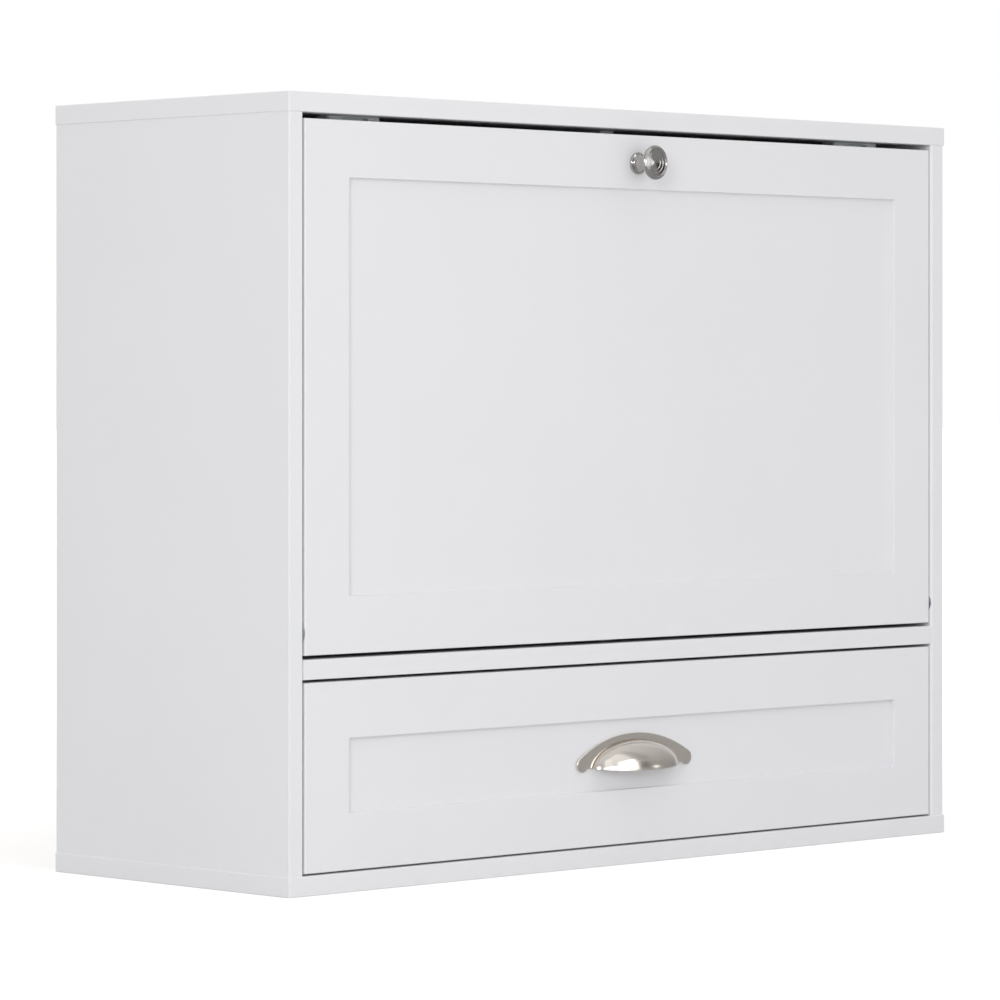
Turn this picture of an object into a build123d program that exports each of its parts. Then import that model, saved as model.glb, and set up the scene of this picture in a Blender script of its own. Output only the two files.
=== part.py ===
from build123d import *

import math
import os

# Wall-hung secretary desk: a white cabinet whose shaker flap drops to make the writing
# surface, over a shaker drawer. Millimetres. X runs to the right along the front, Y from
# front to back, Z up. The origin is the middle of the underside of the bottom board.

# ---- Driving dimensions -------------------------------------------------------------

# Carcass
cabinet_width = 800.0
cabinet_height = 640.0
cabinet_depth = 292.0
board = 16.0                    # thickness of every carcass board
side_setback = 1.0              # sides and middle board stand back from the top board's edges
edge_radius = 0.8               # eased edges of the painted boards
back_panel_thickness = 3.0
groove_depth = 7.5              # groove that holds the back panel
groove_clearance = 0.1          # each side of a panel in its groove
groove_end_clearance = 0.5      # between a panel's edge and the floor of its groove
rail_height = 80.0              # hanging rail behind the top of the back panel
rail_cam_drop = 60.0            # cam and dowel below the top of the hanging rail
rail_dowel_drop = 20.0
wall_hole_spacing = 600.0
wall_hole_radius = 3.25
divider_setback = 38.0          # from the top board's front edge
shelf_setback = 46.0
shelf_end_clearance = 0.5
shelf_rear_clearance = 1.0
shelf_stay_clearance = 12.0     # shelf above the highest point that a stay arm sweeps

# Fronts: a flat board with a frame of strips laid on it
front_board = 13.0
frame_strip = 5.0               # thickness of the strips, so the depth of the recess
stile_width = 48.0
frame_rail_width = 46.0
front_setback = 2.0             # faces of flap and drawer behind the top board's front edge
front_side_gap = 2.0
front_edge_radius = 1.0
recess_edge_radius = 0.5
drawer_front_height = 152.0
drawer_gap_below = 1.5
drawer_gap_above = 2.5
flap_gap_below = 3.2
flap_gap_above = 4.8

# Flap pivots
pivot_rise = 18.0               # pivot axis above the flap's bottom edge
pivot_journal_radius = 3.0
pivot_shank_radius = 4.0
pivot_depth = 12.0              # depth of pin in the side panel and of bush in the flap
pivot_flange_radius = 9.5
pivot_flange = 0.8
bush_radius = 5.0
bush_flange_radius = 9.0
running_clearance = 0.05        # radial, turning fits
fixed_clearance = 0.05          # radial, pieces that are pressed, glued or screwed in place

# Slotted stays
stay_offset = 8.0               # arm pivot behind the flap's inner face
stay_stud_clearance = 2.8       # bracket's ear to the stud's head, flap shut
stay_open_angle = 90.0          # how far the flap drops
stay_arm_width = 14.0
stay_arm_thickness = 2.0
stay_slot_clearance = 0.2       # each side of the stud's shank
stay_end_wall = 6.6             # metal beyond the far end of the slot
stay_rear_clearance = 11.0      # arm to back panel, flap shut
stay_panel_space = 3.5          # arm to side panel
stay_side_clearance = 0.3       # arm to the parts beside it
stud_shank_radius = 2.5
stud_head_radius = 5.0
stud_head = 2.5
stud_thread_radius = 2.0
stud_thread = 11.0
rivet_radius = 2.5
rivet_head_radius = 4.0
rivet_head = 1.2
bracket_metal = 2.0
bracket_ear_radius = 8.0
bracket_base_width = 32.0
bracket_base_height = 40.0

# Magnetic catches and strike plates
catch_inset = 93.5              # catch centre from the end of the top board
catch_face_gap = 4.0            # housing behind the flap's inner face
catch_block_width = 34.0
catch_block_height = 20.0
catch_depth = 18.0
catch_ear = 12.0
catch_ear_thickness = 4.0
magnet_width = 28.0
magnet_height = 8.0
magnet_depth = 12.0
pole_thickness = 1.5
pole_proud = 2.2                # pole plates in front of the housing
magnet_below = 9.0              # top of the magnet below the top of the housing
catch_slot_height = 4.0         # moulded slot above the magnet
catch_slot_depth = 6.0
catch_slot_roof = 1.2
strike_width = 38.0
strike_height = 13.5
strike_thickness = 1.5
strike_edge_gap = 0.5           # below the flap's top edge

# Knob
knob_below_top = 24.0           # knob centre below the flap's top edge
knob_base_radius = 9.4
knob_neck_radius = 5.6
knob_head_radius = 14.7
knob_projection = 23.0
knob_head_depth = 3.7           # head, from the end of the stem's flare to the rim's front
knob_dish = 2.8                 # depth of the dish in the head
knob_dish_floor_radius = 3.7
knob_rim_fall = 1.9             # rim's widest radius less the radius of its front edge

# Cup pull
pull_bottom = 62.6              # bottom of the pull above the drawer front's bottom edge
pull_width = 140.0
pull_height = 30.7
pull_lobe_radius = 6.5
pull_flange = 2.4
pull_cup_half_width = 52.5
pull_cup_height = 25.5
pull_cup_projection = 22.0
pull_wall = 1.8
pull_rim_rise = 4.0             # rim is higher at the flange than at its front
pull_boss_radius = 4.0
pull_boss = 7.0
pull_boss_clearance = 0.2       # around and behind the bosses in the drawer front
pull_thread_beyond = 0.8        # threads run on into the flange

# Drawer box
drawer_box_side = 12.0
drawer_box_height = 112.0
drawer_box_clearance = 12.0     # box above the bottom board
drawer_rear_clearance = 7.0
drawer_bottom_thickness = 4.0
drawer_bottom_rise = 8.0        # bottom panel above the lower edge of the sides
drawer_groove_depth = 6.0
drawer_low_fixing = 30.0        # lower dowels and screws above the lower edge of the sides
drawer_high_fixing = 12.0       # upper ones below their top edge

# Telescopic runners
runner_width = 12.7
runner_height = 45.0
runner_metal = 1.2
runner_slack = 0.4              # between members, above and below
runner_middle_inset = 3.6       # middle member's web from the side panel
runner_flange_end = 1.7         # flanges of the outer and middle members end short of the next web
runner_front_clearance = 2.0
runner_rear_clearance = 1.0
runner_centre = 62.0            # runner centre above the lower edge of the drawer sides
runner_web_gap = 0.6            # inner member's flanges to the middle member's web
runner_screw_inset = 37.5       # first and last screws from the ends of the runner

# Fasteners
cam_radius = 7.5
cam_depth = 12.5
cam_distance = 24.0             # cam centre to the joint
bolt_thread = 11.0
bolt_thread_radius = 2.5
bolt_shank_radius = 3.5
bolt_neck_radius = 1.8
bolt_head_radius = 3.2
bolt_head = 4.0
dowel_radius = 4.0
dowel_short = 10.0              # depth in the face of one board
dowel_long = 20.0               # depth in the end of the other
dowel_end_clearance = 0.5
front_fixing_inset = 46.0       # cam joints from the front of the side panels
rear_fixing_inset = 56.0        # cam joints from the rear of the cabinet
dowel_pitch = 32.0              # dowel beside a cam joint
screw_radius = 1.75
screw_length = 12.0
screw_head_radius = 3.4
screw_head = 1.5
screw_cone = 1.7                # depth of a countersunk head
back_screw_radius = 2.0
back_screw_length = 40.0
machine_screw_radius = 2.0
machine_screw_head_radius = 4.0
machine_screw_head = 2.4
knob_screw_engagement = 10.0
knob_bore_beyond = 1.0          # bore of the knob past the end of its screw
shelf_pin_radius = 2.5
shelf_pin_in = 7.0
shelf_pin_out = 8.0
shelf_pin_inset = 32.0
recess_width = 0.9              # arms of the cross recess in a screw head
recess_share = 0.8              # depth of that recess as a share of the head's height
pan_head_edge = 0.7             # rounding of a pan head

# ---- Places worked out from the dimensions -------------------------------------------

front = -cabinet_depth / 2
rear = cabinet_depth / 2
side_front = front + side_setback
side_outer = cabinet_width / 2 - side_setback
side_inner = side_outer - board
top_underside = cabinet_height - board
rail_front = rear - board
back_front = rail_front - back_panel_thickness

front_face = front + front_setback
strip_back = front_face + frame_strip
front_inner = strip_back + front_board
front_half_width = side_inner - front_side_gap

drawer_bottom_edge = board + drawer_gap_below
drawer_top_edge = drawer_bottom_edge + drawer_front_height
middle_bottom = drawer_top_edge + drawer_gap_above
middle_top = middle_bottom + board
flap_bottom_edge = middle_top + flap_gap_below
flap_top_edge = top_underside - flap_gap_above

pivot_y = (front_face + front_inner) / 2
pivot_z = flap_bottom_edge + pivot_rise

front_fixing = side_front + front_fixing_inset
rear_fixing = rear - rear_fixing_inset
fixing_places = (front_fixing, rear_fixing)
dowel_places = (front_fixing + dowel_pitch, rear_fixing - dowel_pitch)

# Stay linkage: the arm turns on a pivot in the flap and slides on a stud in the side
# panel. Arm pivot and stud are the same distance, stay_radius, from the flap's own pivot, so
# the arm turns against the flap by exactly half the flap's angle. They are stay_near apart
# with the flap shut and stay_far apart with it open, the two ends of the arm's slot.
arm_pivot_y = front_inner + stay_offset
stay_arm_length = back_front - stay_rear_clearance - arm_pivot_y
stay_slot_radius = stud_shank_radius + stay_slot_clearance
stay_far = stay_arm_length - stay_end_wall - stay_slot_radius
stay_near = bracket_ear_radius + stud_head_radius + stay_stud_clearance
half_open = math.radians(stay_open_angle) / 2
stay_height = (stay_far - stay_near * math.cos(half_open)) / math.sin(half_open)
stay_radius = math.hypot(stay_near, stay_height) / 2
stay_start_angle = 2 * math.degrees(math.atan2(stay_near, stay_height))
arm_pivot_offset = arm_pivot_y - pivot_y
arm_pivot_rise = math.sqrt(stay_radius**2 - arm_pivot_offset**2)
arm_pivot_z = pivot_z + arm_pivot_rise
arm_pivot_angle = math.degrees(math.atan2(arm_pivot_offset, arm_pivot_rise))
stud_angle = math.radians(arm_pivot_angle + stay_start_angle)
stud_y = pivot_y + stay_radius * math.sin(stud_angle)
stud_z = pivot_z + stay_radius * math.cos(stud_angle)
arm_slope = -(arm_pivot_angle + stay_start_angle / 2)


def arm_tip_height(opened):
    """Top of the arm's free end, above the flap pivot, with the flap opened by an angle."""
    turn = math.radians(opened)
    pivot_height = arm_pivot_offset * math.sin(turn) + arm_pivot_rise * math.cos(turn)
    slope = math.radians(arm_slope + opened / 2)
    return pivot_height + stay_arm_length * math.sin(slope) + stay_arm_width / 2


stay_sweep_top = pivot_z + max(arm_tip_height(angle) for angle in range(int(stay_open_angle) + 1))
shelf_bottom = stay_sweep_top + shelf_stay_clearance

arm_outer = side_inner - stay_panel_space
arm_inner = arm_outer - stay_arm_thickness
ear_outer = arm_inner - stay_side_clearance
ear_inner = ear_outer - bracket_metal

catch_centre = cabinet_width / 2 - catch_inset
catch_front = front_inner + catch_face_gap
magnet_top = top_underside - magnet_below
magnet_bottom = magnet_top - magnet_height
strike_top = flap_top_edge - strike_edge_gap
knob_z = flap_top_edge - knob_below_top

box_outer = side_inner - runner_width
box_inner = box_outer - drawer_box_side
box_bottom = board + drawer_box_clearance
box_top = box_bottom + drawer_box_height
box_rear = back_front - drawer_rear_clearance
box_back_front = box_rear - drawer_box_side
panel_bottom = box_bottom + drawer_bottom_rise
panel_top = panel_bottom + drawer_bottom_thickness
runner_z = box_bottom + runner_centre
runner_front = front_inner + runner_front_clearance
runner_rear = back_front - runner_rear_clearance
pull_z = drawer_bottom_edge + pull_bottom

BASE = (Align.CENTER, Align.CENTER, Align.MIN)
LEFT, RIGHT = -1, 1
tiny = 1e-4                     # how near two edges must lie to count as in line


# ---- Shapes ----------------------------------------------------------------------------

def block(x_span, y_span, z_span):
    """A rectangular solid between two planes on each axis."""
    spans = [sorted(span) for span in (x_span, y_span, z_span)]
    size = [high - low for low, high in spans]
    centre = [(high + low) / 2 for low, high in spans]
    return Pos(*centre) * Box(*size)


def rod(start, axis, radius, length):
    """A round bar from a point along an axis."""
    return Plane(origin=start, z_dir=axis) * Cylinder(radius, length, align=BASE)


def turned(start, axis, *profile):
    """A turned solid from a point along an axis; the profile is pairs of radius, distance."""
    ends = [(0, 0, profile[0][1]), *[(r, 0, d) for r, d in profile], (0, 0, profile[-1][1])]
    points = [point for index, point in enumerate(ends) if index == 0 or point != ends[index - 1]]
    face = make_face(Polyline(*points, close=True))
    return Plane(origin=start, z_dir=axis) * revolve(face, Axis.Z)


def cross_recess(start, axis, span, width, depth):
    """The cross-shaped driver recess cut in the head of a screw or cam."""
    cross = Box(span, width, depth, align=BASE) + Box(width, span, depth, align=BASE)
    return Plane(origin=start, z_dir=axis) * cross


def along(point, axis, distance):
    """The point that lies a distance along an axis from another."""
    return tuple(place + part * distance for place, part in zip(point, axis))


def opposite(axis):
    """The same axis, pointing the other way."""
    return tuple(-part for part in axis)


def eased(solid, radius, *axes):
    """Round the edges of a board, all of them or only those along the named axes."""
    edges = solid.edges()
    if axes:
        edges = [edge for axis in axes for edge in edges.filter_by(axis)]
    return fillet(edges, radius)


nodes = {}
cuts = {}


def add(name, *solids):
    """Put solids in a named node."""
    nodes.setdefault(name, []).extend(solids)


def cut(name, *tools):
    """Note holes and grooves to be cut in a board once every fitting is placed."""
    cuts.setdefault(name, []).extend(tools)


# ---- Fasteners ---------------------------------------------------------------------------

def cam_joint(cam_board, bolt_board, face_point, inward, to_joint):
    """A cam in the face of one board that draws in a bolt screwed into the other."""
    centre = along(face_point, inward, board / 2)
    joint = along(centre, to_joint, cam_distance)
    back = opposite(to_joint)
    channel = rod(joint, back, bolt_shank_radius + fixed_clearance, cam_distance)
    bore = rod(joint, back, bolt_shank_radius + fixed_clearance, cam_distance + bolt_head)
    cam = rod(face_point, inward, cam_radius - fixed_clearance, cam_depth) - bore
    cam -= cross_recess(face_point, inward, cam_radius, 2 * recess_width, 2 * recess_width)
    add("cam_locks", cam)
    shank_end = bolt_thread + cam_distance - cam_radius
    head_start = bolt_thread + cam_distance - bolt_head / 2
    thread_start = along(joint, to_joint, bolt_thread)
    add("cam_bolts", turned(
        thread_start, back,
        (bolt_thread_radius - fixed_clearance, 0),
        (bolt_thread_radius - fixed_clearance, bolt_thread),
        (bolt_shank_radius, bolt_thread),
        (bolt_shank_radius, shank_end),
        (bolt_neck_radius, shank_end),
        (bolt_neck_radius, head_start),
        (bolt_head_radius, head_start),
        (bolt_head_radius, head_start + bolt_head)))
    cut(cam_board, channel, rod(face_point, inward, cam_radius, cam_depth + dowel_end_clearance))
    cut(bolt_board, rod(joint, to_joint, bolt_thread_radius, bolt_thread + dowel_end_clearance))


def dowel_joint(node, face_board, end_board, point, into_end):
    """A fluted dowel, short in the face of one board and long in the end of the other."""
    start = along(point, into_end, -dowel_short)
    length = dowel_short + dowel_long
    radius = dowel_radius - fixed_clearance
    nose = dowel_radius / 4
    add(node, turned(start, into_end, (radius - nose, 0), (radius, nose),
                     (radius, length - nose), (radius - nose, length)))
    cut(face_board, rod(point, opposite(into_end), dowel_radius, dowel_short + dowel_end_clearance))
    cut(end_board, rod(point, into_end, dowel_radius, dowel_long + dowel_end_clearance))


def pan_screw(node, through, into, seat, axis, metal):
    """A pan-head screw whose head sits on a face, through metal and into a board."""
    shank = screw_radius - fixed_clearance
    head = opposite(axis)
    solid = turned(along(seat, head, screw_head), axis, (screw_head_radius - pan_head_edge, 0),
                   (screw_head_radius, screw_head / 2), (screw_head_radius, screw_head),
                   (shank, screw_head), (shank, screw_head + metal + screw_length - shank),
                   (0, screw_head + metal + screw_length))
    solid -= cross_recess(along(seat, head, screw_head), axis, screw_head_radius, recess_width,
                          recess_share * screw_head)
    add(node, solid)
    cut(through, rod(seat, axis, screw_radius, metal))
    cut(into, rod(along(seat, axis, metal), axis, screw_radius, screw_length + fixed_clearance))


def flush_screw(node, boards, seat, axis, radius, length):
    """A countersunk screw, flush with the face it goes in at, through one piece into another."""
    shank = radius - fixed_clearance
    head_radius = 2 * radius
    solid = turned(seat, axis, (head_radius - fixed_clearance, 0), (shank, screw_cone),
                   (shank, length - shank), (0, length))
    solid -= cross_recess(seat, axis, head_radius, recess_width, recess_width)
    hole = turned(seat, axis, (head_radius, 0), (radius, screw_cone),
                  (radius, length + fixed_clearance))
    add(node, solid)
    for name in boards:
        cut(name, hole)


def machine_screw(node, through, seat, axis, length):
    """A pan-head machine screw that passes right through a front and draws on a fitting."""
    shank = machine_screw_radius - fixed_clearance
    start = along(seat, axis, -machine_screw_head)
    solid = turned(start, axis, (machine_screw_head_radius - pan_head_edge, 0),
                   (machine_screw_head_radius, machine_screw_head / 2),
                   (machine_screw_head_radius, machine_screw_head), (shank, machine_screw_head),
                   (shank, machine_screw_head + length))
    solid -= cross_recess(start, axis, machine_screw_head_radius, recess_width,
                          recess_share * machine_screw_head)
    add(node, solid)
    for name in through:
        cut(name, rod(seat, axis, machine_screw_radius + 2 * fixed_clearance, length))


# ---- Carcass -----------------------------------------------------------------------------

def make_carcass():
    """The boards, the back panel in its grooves and the hanging rail behind it."""
    full_width = (-cabinet_width / 2, cabinet_width / 2)
    full_depth = (front, rear)
    between_sides = (-side_inner, side_inner)
    groove_y = (back_front - groove_clearance, rail_front + groove_clearance)
    panel_reach = groove_depth - groove_end_clearance

    add("top_board", eased(block(full_width, full_depth, (top_underside, cabinet_height)), edge_radius))
    add("bottom_board", eased(block(full_width, full_depth, (0, board)), edge_radius))
    groove_x = (-side_inner - groove_depth, side_inner + groove_depth)
    cut("top_board", block(groove_x, groove_y, (top_underside, top_underside + groove_depth)))
    cut("bottom_board", block(groove_x, groove_y, (board - groove_depth, board)))
    for side, name in ((LEFT, "left_side_panel"), (RIGHT, "right_side_panel")):
        span_x = (side * side_inner, side * side_outer)
        panel = block(span_x, (side_front, rear), (board, top_underside))
        add(name, eased(panel, edge_radius, Axis.Z))
        groove_span = (side * side_inner, side * (side_inner + groove_depth))
        cut(name, block(groove_span, groove_y, (board, top_underside)))
    middle = block(between_sides, (side_front, back_front), (middle_bottom, middle_top))
    add("middle_board", eased(middle, edge_radius, Axis.X))
    half_panel = side_inner + panel_reach
    add("back_panel", block((-half_panel, half_panel), (back_front, rail_front),
                            (board - panel_reach, top_underside + panel_reach)))
    rail_bottom = top_underside - rail_height
    add("hanging_rail", block(between_sides, (rail_front, rear), (rail_bottom, top_underside)))
    for side in (LEFT, RIGHT):
        hole_start = (side * wall_hole_spacing / 2, back_front, top_underside - rail_height / 2)
        hole = rod(hole_start, (0, 1, 0), wall_hole_radius, board + back_panel_thickness)
        cut("hanging_rail", hole)
        cut("back_panel", hole)
    divider = block((-board / 2, board / 2), (front + divider_setback, back_front),
                    (middle_top, top_underside))
    add("centre_divider", eased(divider, edge_radius, Axis.Z))


def join_carcass():
    """Cam joints and dowels between the carcass boards."""
    for side, name in ((LEFT, "left_side_panel"), (RIGHT, "right_side_panel")):
        outward = (side, 0, 0)
        inner_x = side * side_inner
        middle_x = side * (side_inner + board / 2)
        for place in fixing_places:
            low = (inner_x, place, board + cam_distance)
            high = (inner_x, place, top_underside - cam_distance)
            cam_joint(name, "bottom_board", low, outward, (0, 0, -1))
            cam_joint(name, "top_board", high, outward, (0, 0, 1))
            under = (side * (side_inner - cam_distance), place, middle_bottom)
            cam_joint("middle_board", name, under, (0, 0, 1), outward)
        for place in dowel_places:
            dowel_joint("wood_dowels", "bottom_board", name, (middle_x, place, board), (0, 0, 1))
            dowel_joint("wood_dowels", "top_board", name, (middle_x, place, top_underside), (0, 0, -1))
            middle_edge = (inner_x, place, middle_bottom + board / 2)
            dowel_joint("wood_dowels", name, "middle_board", middle_edge, (-side, 0, 0))
        rail_y = rear - board / 2
        rail_cam = (side * (side_inner - cam_distance), rear, top_underside - rail_cam_drop)
        cam_joint("hanging_rail", name, rail_cam, (0, -1, 0), outward)
        rail_dowel = (inner_x, rail_y, top_underside - rail_dowel_drop)
        dowel_joint("wood_dowels", name, "hanging_rail", rail_dowel, (-side, 0, 0))
    for place in fixing_places:
        low = (-board / 2, place, middle_top + cam_distance)
        high = (-board / 2, place, top_underside - cam_distance)
        cam_joint("centre_divider", "middle_board", low, (1, 0, 0), (0, 0, -1))
        cam_joint("centre_divider", "top_board", high, (1, 0, 0), (0, 0, 1))
    for place in dowel_places:
        dowel_joint("wood_dowels", "middle_board", "centre_divider", (0, place, middle_top), (0, 0, 1))
        dowel_joint("wood_dowels", "top_board", "centre_divider", (0, place, top_underside), (0, 0, -1))


def make_shelves():
    """One shelf each side of the divider, on four pins."""
    shelf_front = front + shelf_setback
    shelf_rear = back_front - shelf_rear_clearance
    pin_z = shelf_bottom - shelf_pin_radius - fixed_clearance
    wall_x = side_inner
    divider_x = board / 2
    for side, name, wall in ((LEFT, "left_shelf", "left_side_panel"),
                             (RIGHT, "right_shelf", "right_side_panel")):
        span_x = (side * (divider_x + shelf_end_clearance), side * (wall_x - shelf_end_clearance))
        shelf = block(span_x, (shelf_front, shelf_rear), (shelf_bottom, shelf_bottom + board))
        add(name, eased(shelf, edge_radius, Axis.X))
        for place in (shelf_front + shelf_pin_inset, shelf_rear - shelf_pin_inset):
            for carrier, face_x, inward in ((wall, side * wall_x, side),
                                            ("centre_divider", side * divider_x, -side)):
                start = (face_x - inward * shelf_pin_out, place, pin_z)
                radius = shelf_pin_radius - fixed_clearance
                add("shelf_pins", rod(start, (inward, 0, 0), radius, shelf_pin_out + shelf_pin_in))
                cut(carrier, rod((face_x, place, pin_z), (inward, 0, 0), shelf_pin_radius,
                                 shelf_pin_in + fixed_clearance))


# ---- Fronts ------------------------------------------------------------------------------

def make_front(prefix, bottom_edge, top_edge):
    """A flat board with two stiles and two rails laid on it, for the flap or the drawer."""
    half = front_half_width
    panel = block((-half, half), (strip_back, front_inner), (bottom_edge, top_edge))
    back_edges = panel.faces().sort_by(Axis.Y)[-1].edges()
    add(f"{prefix}_board", fillet(back_edges, edge_radius))
    inner_half = half - stile_width
    low, high = bottom_edge + frame_rail_width, top_edge - frame_rail_width
    ring = block((-half, half), (front_face, strip_back), (bottom_edge, top_edge))
    ring = fillet(ring.faces().sort_by(Axis.Y)[0].edges(), front_edge_radius)
    ring -= block((-inner_half, inner_half), (front_face, strip_back), (low, high))
    arris = [edge for edge in ring.edges()
             if abs(edge.center().Y - front_face) < tiny
             and abs(edge.center().X) < inner_half + tiny
             and low - tiny < edge.center().Z < high + tiny]
    ring = fillet(arris, recess_edge_radius)
    reach = (front_face, strip_back)
    for side, name in ((LEFT, "left"), (RIGHT, "right")):
        stile = block((side * inner_half, side * half), reach, (bottom_edge, top_edge))
        add(f"{prefix}_{name}_stile", ring & stile)
    add(f"{prefix}_bottom_rail", ring & block((-inner_half, inner_half), reach, (bottom_edge, low)))
    add(f"{prefix}_top_rail", ring & block((-inner_half, inner_half), reach, (high, top_edge)))


def make_pivots():
    """Pins in the side panels and bushes in the flap, one pair at each end."""
    for side, name in ((LEFT, "left"), (RIGHT, "right")):
        inward = (-side, 0, 0)
        buried = (side * (side_inner + pivot_depth), pivot_y, pivot_z)
        shank = pivot_shank_radius - fixed_clearance
        flange_end = pivot_depth + pivot_flange
        journal_end = pivot_depth + front_side_gap + pivot_depth - 2 * pivot_flange
        add(f"{name}_pivot_pin", turned(
            buried, inward, (shank, 0), (shank, pivot_depth),
            (pivot_flange_radius, pivot_depth), (pivot_flange_radius, flange_end),
            (pivot_journal_radius, flange_end), (pivot_journal_radius, journal_end)))
        cut(f"{name}_side_panel", rod((side * side_inner, pivot_y, pivot_z), (side, 0, 0),
                                      pivot_shank_radius, pivot_depth + fixed_clearance))
        flap_end = (side * front_half_width, pivot_y, pivot_z)
        outer_face = along(flap_end, inward, -pivot_flange)
        sleeve = bush_radius - fixed_clearance
        bush = turned(outer_face, inward, (bush_flange_radius, 0),
                      (bush_flange_radius, pivot_flange), (sleeve, pivot_flange),
                      (sleeve, pivot_flange + pivot_depth))
        bore = pivot_journal_radius + running_clearance
        bush -= rod(outer_face, inward, bore, pivot_depth + pivot_flange)
        add(f"{name}_pivot_bush", bush)
        seat = rod(flap_end, inward, bush_radius, pivot_depth + fixed_clearance)
        cut("flap_board", seat)
        cut(f"flap_{name}_stile", seat)


# ---- Stays -------------------------------------------------------------------------------

def make_stays():
    """Slotted arms that hold the flap level, with their brackets, rivets and studs."""
    slope = math.radians(arm_slope)
    for side, name in ((LEFT, "left"), (RIGHT, "right")):
        arm_plane = Plane(origin=(side * arm_outer, arm_pivot_y, arm_pivot_z),
                          x_dir=(0, math.cos(slope), math.sin(slope)), z_dir=(-side, 0, 0))
        reach = stay_arm_length - stay_arm_width / 2
        outline = Pos(reach / 2, 0) * SlotCenterToCenter(reach, stay_arm_width)
        slot_from, slot_to = stay_near - stay_slot_clearance, stay_far
        slot = SlotCenterToCenter(slot_to - slot_from, 2 * stay_slot_radius)
        outline -= Pos((slot_from + slot_to) / 2, 0) * slot
        outline -= Circle(rivet_radius + running_clearance)
        add(f"{name}_stay_arm", extrude(arm_plane * outline, stay_arm_thickness))

        inward = (-side, 0, 0)
        stud_start = (side * (side_inner + stud_thread), stud_y, stud_z)
        spacer_end = stud_thread + stay_panel_space - stay_side_clearance
        head_start = spacer_end + stay_arm_thickness + 2 * stay_side_clearance
        thread = stud_thread_radius - fixed_clearance
        add(f"{name}_stay_stud", turned(
            stud_start, inward, (thread, 0), (thread, stud_thread),
            (stud_head_radius, stud_thread), (stud_head_radius, spacer_end),
            (stud_shank_radius, spacer_end), (stud_shank_radius, head_start),
            (stud_head_radius, head_start), (stud_head_radius, head_start + stud_head)))
        cut(f"{name}_side_panel", rod((side * side_inner, stud_y, stud_z), (side, 0, 0),
                                      stud_thread_radius, stud_thread + fixed_clearance))

        base_span = (side * (ear_outer - bracket_base_width), side * ear_outer)
        half_height = bracket_base_height / 2
        base = block(base_span, (front_inner, front_inner + bracket_metal),
                     (arm_pivot_z - half_height, arm_pivot_z + half_height))
        base = fillet(base.edges().filter_by(Axis.Y), bracket_metal)
        ear = block((side * ear_inner, side * ear_outer), (front_inner, arm_pivot_y),
                    (arm_pivot_z - bracket_ear_radius, arm_pivot_z + bracket_ear_radius))
        ear += rod((side * ear_outer, arm_pivot_y, arm_pivot_z), inward, bracket_ear_radius,
                   bracket_metal)
        bracket = base + ear
        bracket -= rod((side * ear_outer, arm_pivot_y, arm_pivot_z), inward,
                       rivet_radius + fixed_clearance, bracket_metal)
        add(f"{name}_stay_bracket", bracket)

        rivet_start = (side * (arm_outer + stay_side_clearance + rivet_head), arm_pivot_y, arm_pivot_z)
        shank_end = rivet_head + stay_arm_thickness + 2 * stay_side_clearance + bracket_metal
        add("stay_rivets", turned(
            rivet_start, inward, (rivet_head_radius, 0), (rivet_head_radius, rivet_head),
            (rivet_radius, rivet_head), (rivet_radius, shank_end),
            (rivet_head_radius, shank_end), (rivet_head_radius, shank_end + rivet_head)))
        screw_x = side * (ear_outer - bracket_base_width / 2 - bracket_metal)
        for rise in (-half_height / 2, half_height / 2):
            seat = (screw_x, front_inner + bracket_metal, arm_pivot_z + rise)
            flush_screw("flap_screws", (f"{name}_stay_bracket", "flap_board"), seat, (0, -1, 0),
                        screw_radius, screw_length)


# ---- Catches -----------------------------------------------------------------------------

def make_catches():
    """Magnetic catches under the top board and their strike plates on the flap."""
    for side in (LEFT, RIGHT):
        x = side * catch_centre
        depth_span = (catch_front, catch_front + catch_depth)
        housing = block((x - catch_block_width / 2, x + catch_block_width / 2), depth_span,
                        (top_underside - catch_block_height, top_underside))
        half_ears = catch_block_width / 2 + catch_ear
        housing += block((x - half_ears, x + half_ears), depth_span,
                         (top_underside - catch_ear_thickness, top_underside))
        housing = fillet(housing.edges().filter_by(Axis.Z).group_by(Axis.Y)[0], edge_radius)
        half_magnet = magnet_width / 2
        pocket = (magnet_bottom - pole_thickness, magnet_top + pole_thickness)
        housing -= block((x - half_magnet, x + half_magnet),
                         (catch_front, catch_front + magnet_depth), pocket)
        slot_top = top_underside - catch_slot_roof
        housing -= block((x - half_magnet, x + half_magnet),
                         (catch_front, catch_front + catch_slot_depth),
                         (slot_top - catch_slot_height, slot_top))
        add("catch_bodies", housing)
        magnet_span = (catch_front + pole_proud, catch_front + magnet_depth)
        add("catch_magnets", block((x - half_magnet, x + half_magnet), magnet_span,
                                   (magnet_bottom, magnet_top)))
        for low in (magnet_bottom - pole_thickness, magnet_top):
            add("catch_pole_plates", block(
                (x - half_magnet, x + half_magnet),
                (catch_front - pole_proud, catch_front + magnet_depth), (low, low + pole_thickness)))
        ear_centre = catch_block_width / 2 + catch_ear / 2
        for ear in (LEFT, RIGHT):
            seat = (x + ear * ear_centre, catch_front + catch_depth / 2,
                    top_underside - catch_ear_thickness)
            pan_screw("catch_screws", "catch_bodies", "top_board", seat, (0, 0, 1),
                      catch_ear_thickness)
        strike = block((x - strike_width / 2, x + strike_width / 2),
                       (front_inner, front_inner + strike_thickness),
                       (strike_top - strike_height, strike_top))
        add("strike_plates", fillet(strike.edges().filter_by(Axis.Y), strike_thickness))
        for end in (LEFT, RIGHT):
            seat = (x + end * (strike_width - strike_height) / 2, front_inner + strike_thickness,
                    strike_top - strike_height / 2)
            flush_screw("flap_screws", ("strike_plates", "flap_board"), seat, (0, -1, 0),
                        screw_radius, screw_length)


# ---- Knob and pull -----------------------------------------------------------------------

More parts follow.
